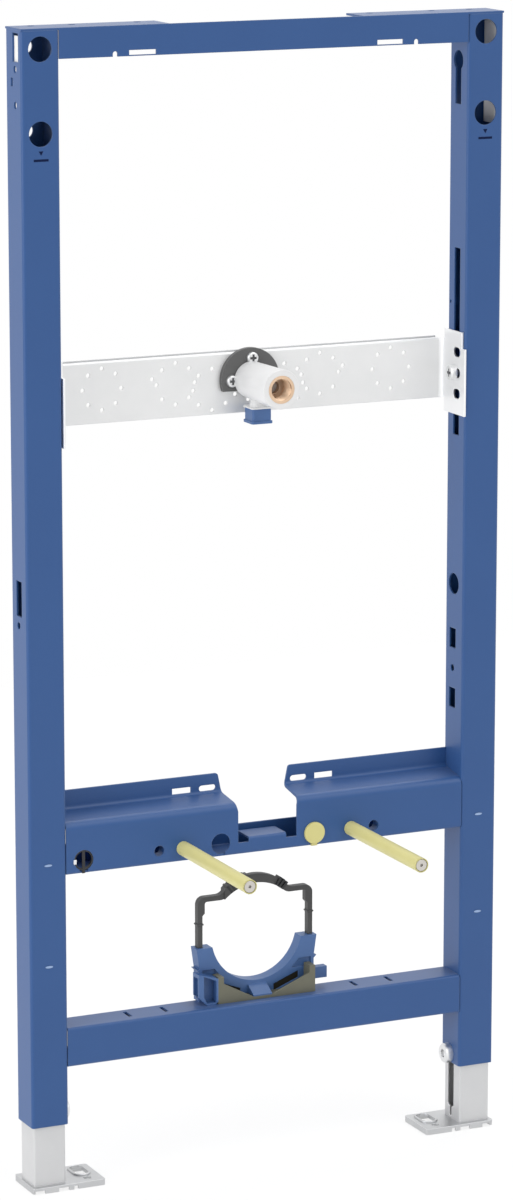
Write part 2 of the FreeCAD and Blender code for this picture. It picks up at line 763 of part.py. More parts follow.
def stud_sleeve(side, label):
    """Plastic sleeve that covers the stud from the crossbar to its tip."""
    body = new_body(label)
    tube = front_sketch(body, f"-{FRONT}")
    x = f"{side} * stud_spacing / 2"
    circle(tube, x, STUD_LEVEL, "stud_radius + fit_gap + sleeve_wall")
    circle(tube, x, STUD_LEVEL, "stud_radius + fit_gap")
    pad(body, tube, "stud_reach")


def stud_nut(side, label):
    """Hexagon nut behind the crossbar's web."""
    body = new_body(label)
    x = f"{side} * stud_spacing / 2"
    block = front_sketch(body, f"rail_sheet + nut_height - {FRONT}")
    hexagon(block, x, STUD_LEVEL, "nut_flats / sqrt(3)")
    circle(block, x, STUD_LEVEL, "stud_radius + fit_gap")
    pad(body, block, "nut_height")


def keyhole_cap():
    """Plastic cap in the right keyhole, with its tail in the slot."""
    body = new_body("keyhole_cap")
    place = "keyhole_spacing / 2"
    face = front_sketch(body, f"-{FRONT}")
    circle(face, place, STUD_LEVEL, "keyhole_radius + cap_overlap")
    pad(body, face, "cap_height")
    plug = front_sketch(body, f"2 * rail_sheet - {FRONT}")
    circle(plug, place, STUD_LEVEL, "keyhole_radius - fit_gap")
    pad(body, plug, "2 * rail_sheet")
    tail = front_sketch(body, f"rail_sheet - {FRONT}")
    rectangle(tail, f"{place} - cap_tail_width / 2", f"{place} + cap_tail_width / 2",
              "bar_foot", f"{STUD_LEVEL} - keyhole_radius / 2")
    pad(body, tail, "cap_tail_height")


def keyhole_clip():
    """Dark clip ring set back in the left end keyhole, with a tongue down the slot."""
    body = new_body("keyhole_clip")
    ring = front_sketch(body, f"2 * rail_sheet - {FRONT}")
    place = f"(end_keyhole_inset - {INNER})"
    circle(ring, place, STUD_LEVEL, "keyhole_radius - fit_gap")
    circle(ring, place, STUD_LEVEL, "keyhole_radius - clip_wall")
    pad(body, ring, "2 * rail_sheet - clip_recess")
    tongue = front_sketch(body, f"rail_sheet - {FRONT}")
    rectangle(tongue, f"{place} - clip_tongue / 2", f"{place} + clip_tongue / 2",
              "bar_foot", f"{STUD_LEVEL} + keyhole_radius - clip_wall / 2")
    pad(body, tongue, "rail_sheet - clip_recess")


def mounting_plate():
    """Perforated plate that carries the water connector, with its top edge folded back."""
    body = new_body("mounting_plate")
    section = side_sketch(body, f"-{PLATE_REACH}")
    back, lip = "plate_front + plate_sheet", "plate_front + plate_lip"
    under = f"{PLATE_TOP} - plate_sheet"
    outline(section, [("plate_front", "plate_foot"), (back, "plate_foot"), (back, under), (lip, under),
                      (lip, PLATE_TOP), ("plate_front", PLATE_TOP)])
    pad(body, section, f"2 * {PLATE_REACH}")
    round_edges(body, "plate_sheet", along_x(("plate_front", PLATE_TOP)))
    holes = front_sketch(body, "plate_front")
    reach = value(f"{PLATE_REACH} - ring_radius - 2 * ring_hole_radius")
    ring_count = int(reach / value("ring_pitch"))
    rings = [(count, RING_LEVEL) for count in range(-ring_count, ring_count + 1)]
    rings += [(count, f"{RING_LEVEL} - low_ring_drop") for count in (-0.5, 0.5)]
    for count, level in rings:
        for step in range(8):
            turn = f"{45 * step} deg"
            circle(holes, f"{count} * ring_pitch + ring_radius * cos({turn})",
                   f"{level} + ring_radius * sin({turn})", "ring_hole_radius")
    for side in SIDES.values():
        circle(holes, f"{side} * single_hole_place", f"{RING_LEVEL} + single_hole_rise", "ring_hole_radius")
    pocket(body, holes, "plate_sheet")


def plate_ear(side, label):
    """Side of the mounting plate, bent forward, which slides along the upright's inner face."""
    body = new_body(label)
    ear = side_sketch(body, f"{EAR_FACE} - ear_sheet" if side > 0 else f"-{EAR_FACE}")
    top = f"{EAR_FOOT} + ear_height"
    step, bend = f"{top} - ear_step", "plate_front - plate_bend"
    outline(ear, [
        ("-ear_front", EAR_FOOT), (bend, EAR_FOOT), (bend, top), ("ear_step_depth - ear_front", top),
        ("ear_step_depth - ear_front", step), ("-ear_front", step)])
    run, radius = "(ear_hole_width - ear_hole_height) / 2", "ear_hole_height / 2"
    hole_front, hole_back = f"-ear_hole_place - {run}", f"{run} - ear_hole_place"
    slot(ear, (hole_front, EAR_SCREW_LEVEL), ("0", EAR_SCREW_LEVEL), radius)
    for turn in (-1, 1):
        level = f"({EAR_SCREW_LEVEL} + {turn} * ear_hole_pitch / 2)"
        slot(ear, (hole_front, level), (hole_back, level), radius)
    pad(body, ear, "ear_sheet")
    corner = level_sketch(body, "plate_foot")
    back, face = "plate_front + ear_sheet", f"{EAR_FACE} - ear_sheet"
    turned = f"{-side} * plate_bend", f"{side} * (plate_bend + ear_sheet)"
    outline(corner, [
        (f"{side} * ({face})", bend, f"-1 * {turned[0]}"), (f"{side} * {PLATE_REACH}", "plate_front"),
        (f"{side} * {PLATE_REACH}", back, f"-1 * {turned[1]}"), (f"{side} * {EAR_FACE}", bend)])
    pad(body, corner, "plate_height")


def ear_screw(side, label):
    """Screw with a round nut inside the upright that holds the ear in its slot."""
    body = new_body(label)
    face, nut_seat = f"({EAR_FACE} - ear_sheet)", f"({INNER} + tube_wall + slide_gap)"
    turned = [(f"{face} - ear_screw_head_height", "ear_screw_head_radius", "ear_screw_head_height"),
              (face, "ear_screw_radius", f"({nut_seat} - {face})"),
              (nut_seat, "slide_nut_radius", "slide_nut_height")]
    for x, radius, length in turned:
        disc = side_sketch(body, x if side > 0 else f"-1 * ({x} + {length})")
        circle(disc, "0", EAR_SCREW_LEVEL, radius)
        pad(body, disc, length)


def connector_flange():
    """Half-moon plastic flange on the mounting plate."""
    body = new_body("connector_flange")
    disc = front_sketch(body, "plate_front")
    half = "sqrt(flange_radius ^ 2 - flange_flat ^ 2)"
    flat = f"{RING_LEVEL} - flange_flat"
    crown = f"{RING_LEVEL} + flange_radius"
    outline(disc, [(half, flat, "flange_radius"), ("0", crown, "flange_radius"), (f"-{half}", flat)])
    pad(body, disc, "flange_height")


def connector_body():
    """Conical plastic body with the inlet in front and a spigot below."""
    body = new_body("connector_body")
    profile = side_sketch(body, "0")
    collar, seat = "cone_collar - socket_front", "socket_depth - socket_front"
    axis, bore = RING_LEVEL, f"{RING_LEVEL} + socket_radius + fit_gap"
    outline(profile, [
        (FLANGE_FRONT, axis), (FLANGE_FRONT, f"{axis} + cone_back_radius"),
        (collar, f"{axis} + cone_front_radius"), ("-socket_front", f"{axis} + cone_front_radius"),
        ("-socket_front", bore), (seat, bore), (seat, axis)])
    spun = body.newObject("PartDesign::Revolution", "connector_body_revolution")
    spun.Profile = profile
    line = profile.addGeometry(Part.LineSegment(Vector(-1, value(axis), 0), Vector(1, value(axis), 0)), True)
    pin(profile, line, 1, "-1", axis)
    pin(profile, line, 2, "1", axis)
    spun.ReferenceAxis = (profile, ["Axis0"])
    spun.Angle = 360
    doc.recompute()
    spigot = level_sketch(body, f"{RING_LEVEL} - spigot_drop")
    circle(spigot, "0", "spigot_place", "spigot_radius")
    pad(body, spigot, "spigot_drop")
    flange = level_sketch(body, f"{RING_LEVEL} - plug_top_drop")
    wide = "(plug_side + 2 * plug_rim)"
    centred(flange, "0", "spigot_place", wide, wide)
    pad(body, flange, "spigot_flange")


def connector_socket():
    """Brass inlet with a female thread."""
    body = new_body("connector_socket")
    barrel = front_sketch(body, "socket_depth - socket_front")
    circle(barrel, "0", RING_LEVEL, "socket_radius")
    pad(body, barrel, "socket_depth")
    bore = front_sketch(body, "-socket_front")
    circle(bore, "0", RING_LEVEL, "inlet_radius")
    pocket(body, bore, "inlet_depth")
    waterway = front_sketch(body, "inlet_depth - socket_front")
    circle(waterway, "0", RING_LEVEL, "waterway_radius")
    pocket(body, waterway, "socket_depth - inlet_depth")


def connector_plug():
    """Square protective plug on the spigot."""
    body = new_body("connector_plug")
    top = f"{RING_LEVEL} - plug_top_drop"
    foot = f"{top} - plug_height"
    block = level_sketch(body, foot)
    centred(block, "0", "spigot_place", "plug_side", "plug_side")
    pad(body, block, "plug_height")
    rim = level_sketch(body, foot)
    wide = "(plug_side + 2 * plug_rim)"
    centred(rim, "0", "spigot_place", wide, wide)
    pad(body, rim, "plug_rim_height")
    round_edges(body, "plug_corner", is_upright)
    bore = level_sketch(body, top)
    circle(bore, "0", "spigot_place", "spigot_radius + fit_gap")
    pocket(body, bore, "spigot_drop - plug_top_drop")


def cradle():
    """Moulded cradle under the waste pipe, standing on the base with a clip boss and a catch."""
    body = new_body("waste_cradle")
    plate = front_sketch(body, "cradle_back")
    arm = "sqrt(pipe_radius ^ 2 - arm_drop ^ 2)"
    nib = f"{ARM_TOP} - nib_drop"
    right = [(ARM_WAIST, LOW_RAIL_TOP), (ARM_WAIST, f"{nib} - nib_reach"), (f"{ARM_WAIST} + nib_reach", nib),
             (ARM_WAIST, nib), (CRADLE_HALF, ARM_TOP)]
    left = [(f"-1 * ({x})", z) for x, z in reversed(right)]
    bed = [(arm, ARM_TOP, "-1 * pipe_radius"), ("0", f"{WASTE_LEVEL} - pipe_radius", "-1 * pipe_radius"),
           (f"-{arm}", ARM_TOP)]
    outline(plate, right + bed + left)
    pad(body, plate, "cradle_back - cradle_front")

    hollows = front_sketch(body, "cradle_front")
    high, low = f"{ARM_TOP} - recess_drop", f"{LOW_RAIL_TOP} + recess_rise"
    rim = "(pipe_radius + cradle_rim)"
    high_x, low_x = (f"sqrt({rim} ^ 2 - ({WASTE_LEVEL} - ({level})) ^ 2)" for level in (high, low))
    edge = f"({ARM_WAIST} - cradle_edge)"
    for side in SIDES.values():
        outline(hollows, [(f"{side} * {low_x}", low), (f"{side} * {edge}", low), (f"{side} * {edge}", high),
                          (f"{side} * {high_x}", high, f"{-side} * {rim}")])
    pocket(body, hollows, "recess_depth")
    openings = front_sketch(body, "cradle_front")
    near, far = "(middle_half + cell_inset)", f"({BOSS_PLACE} - boss_width / 2 - cradle_edge)"
    start, stop = f"{LOW_RAIL_TOP} + cell_lift", f"{LOW_RAIL_TOP} + cell_lift + cell_climb"
    for side in SIDES.values():
        outline(openings, [(f"{side} * {near}", start), (f"{side} * {far}", stop),
                           (f"{side} * {far}", f"{stop} + cell_height"),
                           (f"{side} * {near}", f"{start} + cell_height")])
    pocket(body, openings, "cell_depth")
    sockets = level_sketch(body, ARM_TOP)
    for side in SIDES.values():
        centred(sockets, f"{side} * {STRAP_PLACE}", STRAP_MIDDLE,
                "(strap_section + 2 * fit_gap)", "(strap_depth + 2 * fit_gap)")
    pocket(body, sockets, "strap_foot")

    ramp = side_sketch(body, "-middle_half")
    floor = f"{LOW_RAIL_TOP} + saddle_floor"
    outline(ramp, [("cradle_front", floor), ("cradle_front", f"{floor} + ramp_rise"),
                   ("-saddle_front", f"{floor} + ramp_edge"), ("-saddle_front", floor)])
    pad(body, ramp, "2 * middle_half")
    boss = front_sketch(body, "cradle_front")
    low, high = LOW_RAIL_TOP, f"{LOW_RAIL_TOP} + boss_height"
    outer, inner = f"(-1 * {BOSS_PLACE} - boss_width / 2)", f"(boss_width / 2 - {BOSS_PLACE})"
    outline(boss, [(f"{outer} + boss_corner", low), (f"{inner} - boss_chamfer", low),
                   (inner, f"{low} + boss_chamfer"), (inner, f"{high} - boss_slant"), (outer, high),
                   (outer, f"{low} + boss_corner")])
    pad(body, boss, "cradle_front + saddle_front")
    cup = front_sketch(body, "-saddle_front")
    cup_outer, channel_floor = f"{outer} + channel_depth + boss_wall", f"{outer} + channel_depth"
    cup_inner, cup_low = f"{inner} - boss_wall", f"{low} + boss_wall"
    outline(cup, [(f"{outer} + boss_corner", cup_low), (cup_inner, cup_low),
                  (cup_inner, f"{high} - boss_slant - boss_wall"), (cup_outer, f"{high} - boss_wall"),
                  (cup_outer, f"{low} + boss_corner")])
    pocket(body, cup, "boss_depth")
    channel = side_sketch(body, channel_floor)
    rectangle(channel, "boss_wall - saddle_front", "cradle_front - boss_wall",
              f"{low} + boss_corner", f"{high} - 2 * boss_wall")
    pocket(body, channel, "channel_depth")
    catch = front_sketch(body, "cradle_front + catch_depth")
    rise = f"{LOW_RAIL_TOP} + catch_rise"
    rectangle(catch, f"{ARM_WAIST} - cradle_edge", f"{ARM_WAIST} + catch_reach",
              rise, f"{rise} + catch_height")
    pad(body, catch, "catch_depth")


def saddle():
    """Open trough in front of the cradle, with an end post on each side and a front wall cut to a V."""
    body = new_body("cradle_base")
    floor, post = f"{LOW_RAIL_TOP} + saddle_floor", f"{LOW_RAIL_TOP} + post_height"
    wing = f"{LOW_RAIL_TOP} + wing_height"
    boss_side, gap = f"(boss_width / 2 - {BOSS_PLACE})", "(middle_half + fit_gap)"
    left, right = f"({boss_side} + post_width)", f"({SADDLE_HALF} - post_width)"
    block = front_sketch(body, "cradle_front")
    outline(block, [(boss_side, LOW_RAIL_TOP), (SADDLE_HALF, LOW_RAIL_TOP), (SADDLE_HALF, post),
                    (right, post), (right, wing), (gap, floor), (f"-{gap}", floor), (left, wing),
                    (left, post), (boss_side, post)])
    pad(body, block, "cradle_front + saddle_front")
    trough = level_sketch(body, post)
    rectangle(trough, left, right, "saddle_wall - saddle_front", "cradle_front")
    pocket(body, trough, "post_height - saddle_floor")


def strap():
    """Strap over the waste pipe, with its two feet in the cradle and a clasp on its arch."""
    body = new_body("pipe_strap")
    half, hub = "strap_section / 2", f"({WASTE_LEVEL} + strap_arch_rise)"
    outer, inner = f"({STRAP_PLACE} + {half})", f"({STRAP_PLACE} - {half})"
    foot, top = f"{ARM_TOP} - strap_foot", f"({WASTE_LEVEL} + pipe_radius - strap_dip)"
    under = f"({top} - strap_section)"
    arch = "pipe_radius"
    crown = f"({arch} + strap_crown - strap_arch_rise)"
    spread = f"sqrt({crown} ^ 2 - ({top} - {hub}) ^ 2)"
    span = f"sqrt({arch} ^ 2 - ({under} - {WASTE_LEVEL}) ^ 2)"
    gusset, gusset_foot = f"({inner} - gusset_wall)", f"{under} - gusset_drop"
    band = front_sketch(body, f"{STRAP_MIDDLE} + strap_depth / 2")
    outside = [(outer, foot), (outer, top)]
    inside = [(span, under), (gusset, under), (gusset, f"{gusset_foot} + gusset_wall"), (inner, gusset_foot),
              (inner, foot)]
    over = [(spread, top, crown), ("0", f"{hub} + {crown}", crown), (f"-{spread}", top)]
    below = [(f"-{span}", under, f"-{arch}"), ("0", f"{WASTE_LEVEL} + {arch}", f"-{arch}")]
    mirror = [[(f"-1 * {x}", z) for x, z in reversed(run)] for run in (outside, inside[1:])]
    outline(band, outside + over + mirror[0] + mirror[1] + below + inside)
    pad(body, band, "strap_depth")
    round_edges(body, "strap_round", along_y((outer, top)))
    round_edges(body, "strap_valley", along_y((spread, top), (span, under)))
    round_edges(body, "gusset_wall", along_y((gusset, under)))
    clasp = front_sketch(body, f"{STRAP_MIDDLE} + strap_depth / 2 + clasp_proud")
    rim = f"({crown} + clasp_lift)"
    high = [f"{hub} + sqrt({rim} ^ 2 - {place} ^ 2)" for place in ("clasp_start", "clasp_stop")]
    low = [f"{WASTE_LEVEL} + sqrt({arch} ^ 2 - {place} ^ 2)" for place in ("clasp_start", "clasp_stop")]
    outline(clasp, [("-clasp_start", high[0], rim), ("-clasp_stop", high[1]),
                    ("-clasp_stop", low[1], f"-{arch}"), ("-clasp_start", low[0])])
    pad(body, clasp, "strap_depth + 2 * clasp_proud")


def anchor_strip(side, label):
    """Zinc strip inside the upright's outer wall, behind the anchor holes."""
    body = new_body(label)
    face = "(frame_width / 2 - tube_wall)"
    strip = side_sketch(body, f"{face} - rail_sheet" if side > 0 else f"-{face}")
    reach = "anchor_hole_radius"
    rectangle(strip, f"face_offset - {reach}", f"face_offset + {reach}",
              f"{ANCHOR_LEVEL} - anchor_hole_pitch - {reach}", f"{ANCHOR_LEVEL} + {reach}")
    pad(body, strip, "rail_sheet")


SIDED = {
    "upright": upright, "leg": leg, "foot_plate": foot_plate, "leg_screw": clamp_screw, "stud": stud,
    "stud_sleeve": stud_sleeve, "stud_nut": stud_nut, "plate_ear": plate_ear, "ear_screw": ear_screw,
    "anchor_strip": anchor_strip,
}
for piece, make in SIDED.items():
    for side_name, sign in SIDES.items():
        make(sign, f"{side_name}_{piece}")
for make in (top_rail, crossbar, low_rail, keyhole_cap, keyhole_clip, mounting_plate, connector_flange,
             connector_body, connector_socket, connector_plug, cradle, saddle, strap):
    make()
doc.recompute()

for item in doc.Objects:
    if {"Invalid", "Error"} & set(item.State):
        raise RuntimeError(f"{item.Label} failed: {item.State}")
for body in parts:
    if body.Shape.isNull() or not body.Shape.isValid():
        raise RuntimeError(f"{body.Label} has no valid shape")

os.makedirs("parts", exist_ok=True)
for body in parts:
    body.Shape.exportStep(f"parts/{body.Label}.step")
    print(f"{body.Label:24s} {len(body.Shape.Solids)} solid  {body.Shape.Volume / 1000:9.2f} cm3")
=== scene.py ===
"""Looks of the wall-hung toilet frame, in metres and in the same frame as its solids."""
import json
import math

import bmesh
import bpy
from mathutils import Matrix, Vector


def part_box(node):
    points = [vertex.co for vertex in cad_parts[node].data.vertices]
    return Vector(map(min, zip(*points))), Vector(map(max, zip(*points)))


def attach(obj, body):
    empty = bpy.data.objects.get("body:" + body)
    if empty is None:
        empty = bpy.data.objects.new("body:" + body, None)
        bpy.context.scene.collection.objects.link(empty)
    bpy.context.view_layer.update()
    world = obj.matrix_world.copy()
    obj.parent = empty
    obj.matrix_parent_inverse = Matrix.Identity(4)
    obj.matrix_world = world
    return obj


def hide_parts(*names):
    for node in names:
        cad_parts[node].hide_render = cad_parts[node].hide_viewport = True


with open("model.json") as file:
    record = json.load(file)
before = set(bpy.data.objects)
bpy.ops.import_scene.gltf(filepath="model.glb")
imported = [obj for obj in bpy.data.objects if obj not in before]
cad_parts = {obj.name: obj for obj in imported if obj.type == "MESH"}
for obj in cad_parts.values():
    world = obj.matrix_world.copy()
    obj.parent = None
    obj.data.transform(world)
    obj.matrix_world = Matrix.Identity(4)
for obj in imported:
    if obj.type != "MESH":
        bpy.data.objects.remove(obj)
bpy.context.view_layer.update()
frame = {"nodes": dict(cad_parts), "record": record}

MM = 0.001
SIDES = (("left", -1), ("right", 1))
FRONTWARD = Matrix.Rotation(math.radians(90), 4, "X")

# Steps of a full turn of a piece and of a thread, a sharp edge in radians, a thin layer in millimetres
TURNING_STEPS = 64
THREAD_STEPS = 40
SHARP_ANGLE = 1.0
LAYER = 0.1

# Uprights, in millimetres as all that follows up to the room
UPRIGHT_AXIS = 231.0
UPRIGHT_FRONT = -19.0
DASH_LEVELS = (("upper", 326.4), ("lower", 226.0))
DASH_SIZE = (8.0, 2.4, 0.6)
MARK_LEVEL = 1002.5
MARK_LIFT = 0.08
MARK_TRIANGLE = 2.7
MARK_TRIANGLE_RISE = 3.4
MARK_BAR = (7.4, 1.1)
MARK_BAR_DROP = 3.7

# Water connector, its screws and the plate that carries it
INLET_LEVEL = 773.5
INLET_FRONT = -49.5
FLANGE_FRONT = 20.5
SOCKET_SEAT = -25.5
SOCKET_BORE = 13.5
NOSE_RADIUS = 19.0
NOSE_LENGTH = 9.0
ROOT_RADIUS = 17.0
CONE_PROFILE = ((0.0, SOCKET_SEAT), (SOCKET_BORE, SOCKET_SEAT), (SOCKET_BORE, INLET_FRONT),
                (NOSE_RADIUS - 0.7, INLET_FRONT), (NOSE_RADIUS - 0.2, INLET_FRONT + 0.2),
                (NOSE_RADIUS, INLET_FRONT + 0.8), (NOSE_RADIUS, INLET_FRONT + NOSE_LENGTH),
                (ROOT_RADIUS + 0.8, FLANGE_FRONT - 2.0), (ROOT_RADIUS + 0.2, FLANGE_FRONT - 0.6),
                (ROOT_RADIUS, FLANGE_FRONT), (0.0, FLANGE_FRONT))
THREAD_ROOT = 10.6
THREAD_CREST = 9.6
THREAD_PITCH = 1.814
THREAD_TURNS = 8
THREAD_START = 1.4
SPIGOT_PLACE = 3.5
SPIGOT_PROFILE = ((0.0, -14.0), (7.5, -14.0), (7.5, -4.0), (9.0, 0.0), (0.0, 0.0))
SPIGOT_SEAT = 0.5
SQUARE_CORNER = 2.2
SPIGOT_FLANGE_HALF = 10.6
SPIGOT_FLANGE_RISE = 1.6
SPIGOT_FLANGE_STEPS = ((1.04, 0.4), (1.0, 1.2))
PLUG_TOP = 748.6
PLUG_HALF = 9.9
PLUG_STEPS = ((1.0, 11.6), (1.11, 0.4), (1.0, 2.4))
FLANGE_SCREWS = (("top", 1.8, 20.6), ("left", -19.6, -0.6))
FLANGE_HEAD = (6.0, 3.2)
EAR_HEAD = (7.4, 2.0)
LIP_SHORTER = 3.0
LIP_SECTION = (1.2, 1.8)
LIP_SOFTNESS = 0.3
LIP_SEAT = 0.7

# Crossbar with the toilet studs
STUD_LEVEL = 327.5
WIDE_HOLE = 115.0
COLLAR_PROFILE = ((4.8, -8.0), (5.5, -8.0), (5.5, -18.8), (5.2, -18.8))
# Bright zinc pin beside the clip: painted glint
CLIP_GLINT_PIN = (-203.4, -19.5, 326.6)
CLIP_GLINT_PIN_SIZE = (3.2, 1.6, 4.6)
CLIP_GLINT_PIN_SOFTNESS = 0.6

# Foot plates
FOOT_TOP = 6.0
FOOT_SLOT = 190.0
FOOT_SLOT_MIDDLE = 10.0
FOOT_SLOT_RADIUS = 6.6
FOOT_SLOT_RUN = 12.0
RIM_WALL = 2.6
RIM_HEIGHT = 1.8
RIM_SINK = 0.1

# Waste-pipe clamp, with its ribs in degrees from the top of the strap's arch
STRAP_HUB = 237.3
STRAP_MIDDLE = 13.0
STRAP_ARM = 59.5
STRAP_SOFTNESS = 0.5
ARM_COLLAR_LEVEL = 239.5
ARM_COLLAR_SIZE = (7.0, 8.6, 1.8)
RIB_RADIUS = 44.8
RIB_SIZE = (2.4, 10.8, 9.0)
RIB_PITCH = 5.0
RIB_ROWS = {"left": (14.0, 6), "right": (34.0, 3)}
# Dark plates in the cradle's two cells, as painted shade
CELL_START = 18.2
CELL_RUN = 26.6
CELL_CLIMB = 10.4
CELL_HEIGHT = 6.8
CELL_LEVEL = 164.1
CELL_FACE = 6.6
CELL_WALL = 0.4

# Room and camera, in metres, watts, millimetres of lens and degrees
FLOOR_HALF = 2.0
FLOOR_SINK = 0.0004
FLOOR_PAINT = 0.95
FLOOR_CLEAR = 0.75
FLOOR_VEIL = 0.03
ROOM_LIGHT = 0.68
LAMPS = (("key_lamp", (2.0, -3.0, 4.8), 5.0, 97),
         ("fill_lamp", (-4.0, -0.8, 1.8), 3.0, 86),
         ("back_lamp", (2.0, 2.1, 4.6), 3.0, 45))
LAMP_TARGET = Vector((0, 0, 0.6))
CAMERA_LENS = 136.23
CAMERA_SENSOR = 36.0
CAMERA_AZIMUTH = -24.99
CAMERA_ELEVATION = 11.97
CAMERA_DISTANCE = 4.3858
CAMERA_TARGET = Vector((-0.00324, 0.0, 0.56093))


def linear(red, green, blue):
    """A display colour in 0 to 255 as linear light."""
    channels = []
    for value in (red, green, blue):
        share = value / 255
        channels.append(share / 12.92 if share <= 0.04045 else ((share + 0.055) / 1.055) ** 2.4)
    return (*channels, 1.0)


def new_group(name, inputs, outputs):
    """An empty shader group with named sockets."""
    group = bpy.data.node_groups.new(name, "ShaderNodeTree")
    for label, default in inputs:
        socket = group.interface.new_socket(label, in_out="INPUT", socket_type="NodeSocketFloat")
        socket.default_value = default
    for label, kind in outputs:
        group.interface.new_socket(label, in_out="OUTPUT", socket_type=kind)
    return group, group.nodes.new("NodeGroupInput"), group.nodes.new("NodeGroupOutput")


def add_math(tree, operation, first, second):
    """A Math node whose two inputs are sockets or plain numbers."""
    node = tree.nodes.new("ShaderNodeMath")
    node.operation = operation
    for index, source in enumerate((first, second)):
        if isinstance(source, (int, float)):
            node.inputs[index].default_value = source
        else:
            tree.links.new(source, node.inputs[index])
    return node.outputs[0]


def add_mix(tree, factor, first, second):
    """A colour Mix node whose colours are sockets or plain colours."""
    node = tree.nodes.new("ShaderNodeMix")
    node.data_type = "RGBA"
    tree.links.new(factor, node.inputs[0])
    for index, source in ((6, first), (7, second)):
        if isinstance(source, tuple):
            node.inputs[index].default_value = source
        else:
            tree.links.new(source, node.inputs[index])
    return node.outputs[2]


def add_range(tree, source, low, high):
    """Spreads a mask between two values."""
    node = tree.nodes.new("ShaderNodeMapRange")
    tree.links.new(source, node.inputs["Value"])
    node.inputs["To Min"].default_value = low
    node.inputs["To Max"].default_value = high
    return node.outputs[0]


def add_seen_rays(tree):
    """One for rays that show the surroundings: from the camera, off a gloss or through a clear piece."""
    path = tree.nodes.new("ShaderNodeLightPath")
    seen = path.outputs["Is Camera Ray"]
    for kind in ("Is Glossy Ray", "Is Transmission Ray"):
        seen = add_math(tree, "MAXIMUM", seen, path.outputs[kind])
    return seen


def make_grain_group():
    """Cloudy tone and fine grain over a surface."""
    group, enter, leave = new_group(
        "surface_grain", [("Cloud Scale", 12.0), ("Grain Scale", 900.0)],
        [("Tone", "NodeSocketFloat"), ("Height", "NodeSocketFloat")])
    place = group.nodes.new("ShaderNodeTexCoord")
    for scale, detail, output in (("Cloud Scale", 3.0, "Tone"), ("Grain Scale", 2.0, "Height")):
        noise = group.nodes.new("ShaderNodeTexNoise")
        noise.inputs["Detail"].default_value = detail
        group.links.new(place.outputs["Object"], noise.inputs["Vector"])
        group.links.new(enter.outputs[scale], noise.inputs["Scale"])
        group.links.new(noise.outputs["Fac"], leave.inputs[output])
    return group


def make_edge_group():
    """Rounded edges for the shading, and a mask of where they are."""
    group, enter, leave = new_group(
        "soft_edges", [("Radius", 0.0008)],
        [("Normal", "NodeSocketVector"), ("Edge", "NodeSocketFloat")])
    bevel = group.nodes.new("ShaderNodeBevel")
    bevel.samples = 6
    group.links.new(enter.outputs["Radius"], bevel.inputs["Radius"])
    plain = group.nodes.new("ShaderNodeNewGeometry")
    product = group.nodes.new("ShaderNodeVectorMath")
    product.operation = "DOT_PRODUCT"
    group.links.new(bevel.outputs["Normal"], product.inputs[0])
    group.links.new(plain.outputs["Normal"], product.inputs[1])
    spread = group.nodes.new("ShaderNodeMapRange")
    spread.inputs["From Min"].default_value = 0.99
    spread.inputs["From Max"].default_value = 0.75
    group.links.new(product.outputs["Value"], spread.inputs["Value"])
    group.links.new(bevel.outputs["Normal"], leave.inputs["Normal"])
    group.links.new(spread.outputs[0], leave.inputs["Edge"])
    return group


def make_line_group():
    """Fine straight lines along X, as rolling or drawing leaves them."""
    group, enter, leave = new_group(
        "tool_lines", [("Across", 700.0), ("Along", 6.0)],
        [("Lines", "NodeSocketFloat")])
    place = group.nodes.new("ShaderNodeTexCoord")
    stretch = group.nodes.new("ShaderNodeCombineXYZ")
    for axis, source in (("X", "Along"), ("Y", "Across"), ("Z", "Across")):
        group.links.new(enter.outputs[source], stretch.inputs[axis])
    scaled = group.nodes.new("ShaderNodeVectorMath")
    scaled.operation = "MULTIPLY"
    group.links.new(place.outputs["Object"], scaled.inputs[0])
    group.links.new(stretch.outputs[0], scaled.inputs[1])
    noise = group.nodes.new("ShaderNodeTexNoise")
    noise.inputs["Scale"].default_value = 1.0
    noise.inputs["Detail"].default_value = 2.0
    group.links.new(scaled.outputs[0], noise.inputs["Vector"])
    group.links.new(noise.outputs["Fac"], leave.inputs["Lines"])
    return group


GRAIN = make_grain_group()
EDGES = make_edge_group()
LINES = make_line_group()


class Finish:
    """A material on the way: its tree, its shader and its shared surface groups."""

    def __init__(self, name, metallic, cloud_scale, grain_scale, edge_radius):
        self.material = bpy.data.materials.new(name)
        self.material.use_nodes = True
        self.tree = self.material.node_tree
        self.shader = self.tree.nodes["Principled BSDF"]
        self.shader.inputs["Metallic"].default_value = metallic
        self.grain = self.add_group(GRAIN, {"Cloud Scale": cloud_scale, "Grain Scale": grain_scale})
        self.edges = self.add_group(EDGES, {"Radius": edge_radius})

    def add_group(self, group, values):
        """Places a shared group with this finish's own values."""
        node = self.tree.nodes.new("ShaderNodeGroup")
        node.node_tree = group
        for label, value in values.items():
            node.inputs[label].default_value = value
        return node

    def colour(self, dark, light, edge):
        """Cloudy base colour, with the edge colour over the rounded edges: a painted highlight where it is
        lighter, darker along the edges where it is darker.
        """
        cloudy = add_mix(self.tree, self.grain.outputs["Tone"], linear(*dark), linear(*light))
        edged = add_mix(self.tree, self.edges.outputs["Edge"], cloudy, linear(*edge))
        self.tree.links.new(edged, self.shader.inputs["Base Color"])

    def roughness(self, low, high, mask=None):
        """Roughness that follows a mask, or else the cloudy tone."""
        spread = add_range(self.tree, mask or self.grain.outputs["Tone"], low, high)
        self.tree.links.new(spread, self.shader.inputs["Roughness"])

    def bump(self, distance, height=None):
        """Fine relief over the rounded edges, in metres."""
        node = self.tree.nodes.new("ShaderNodeBump")
        node.inputs["Distance"].default_value = distance
        self.tree.links.new(height or self.grain.outputs["Height"], node.inputs["Height"])
        self.tree.links.new(self.edges.outputs["Normal"], node.inputs["Normal"])
        self.tree.links.new(node.outputs["Normal"], self.shader.inputs["Normal"])


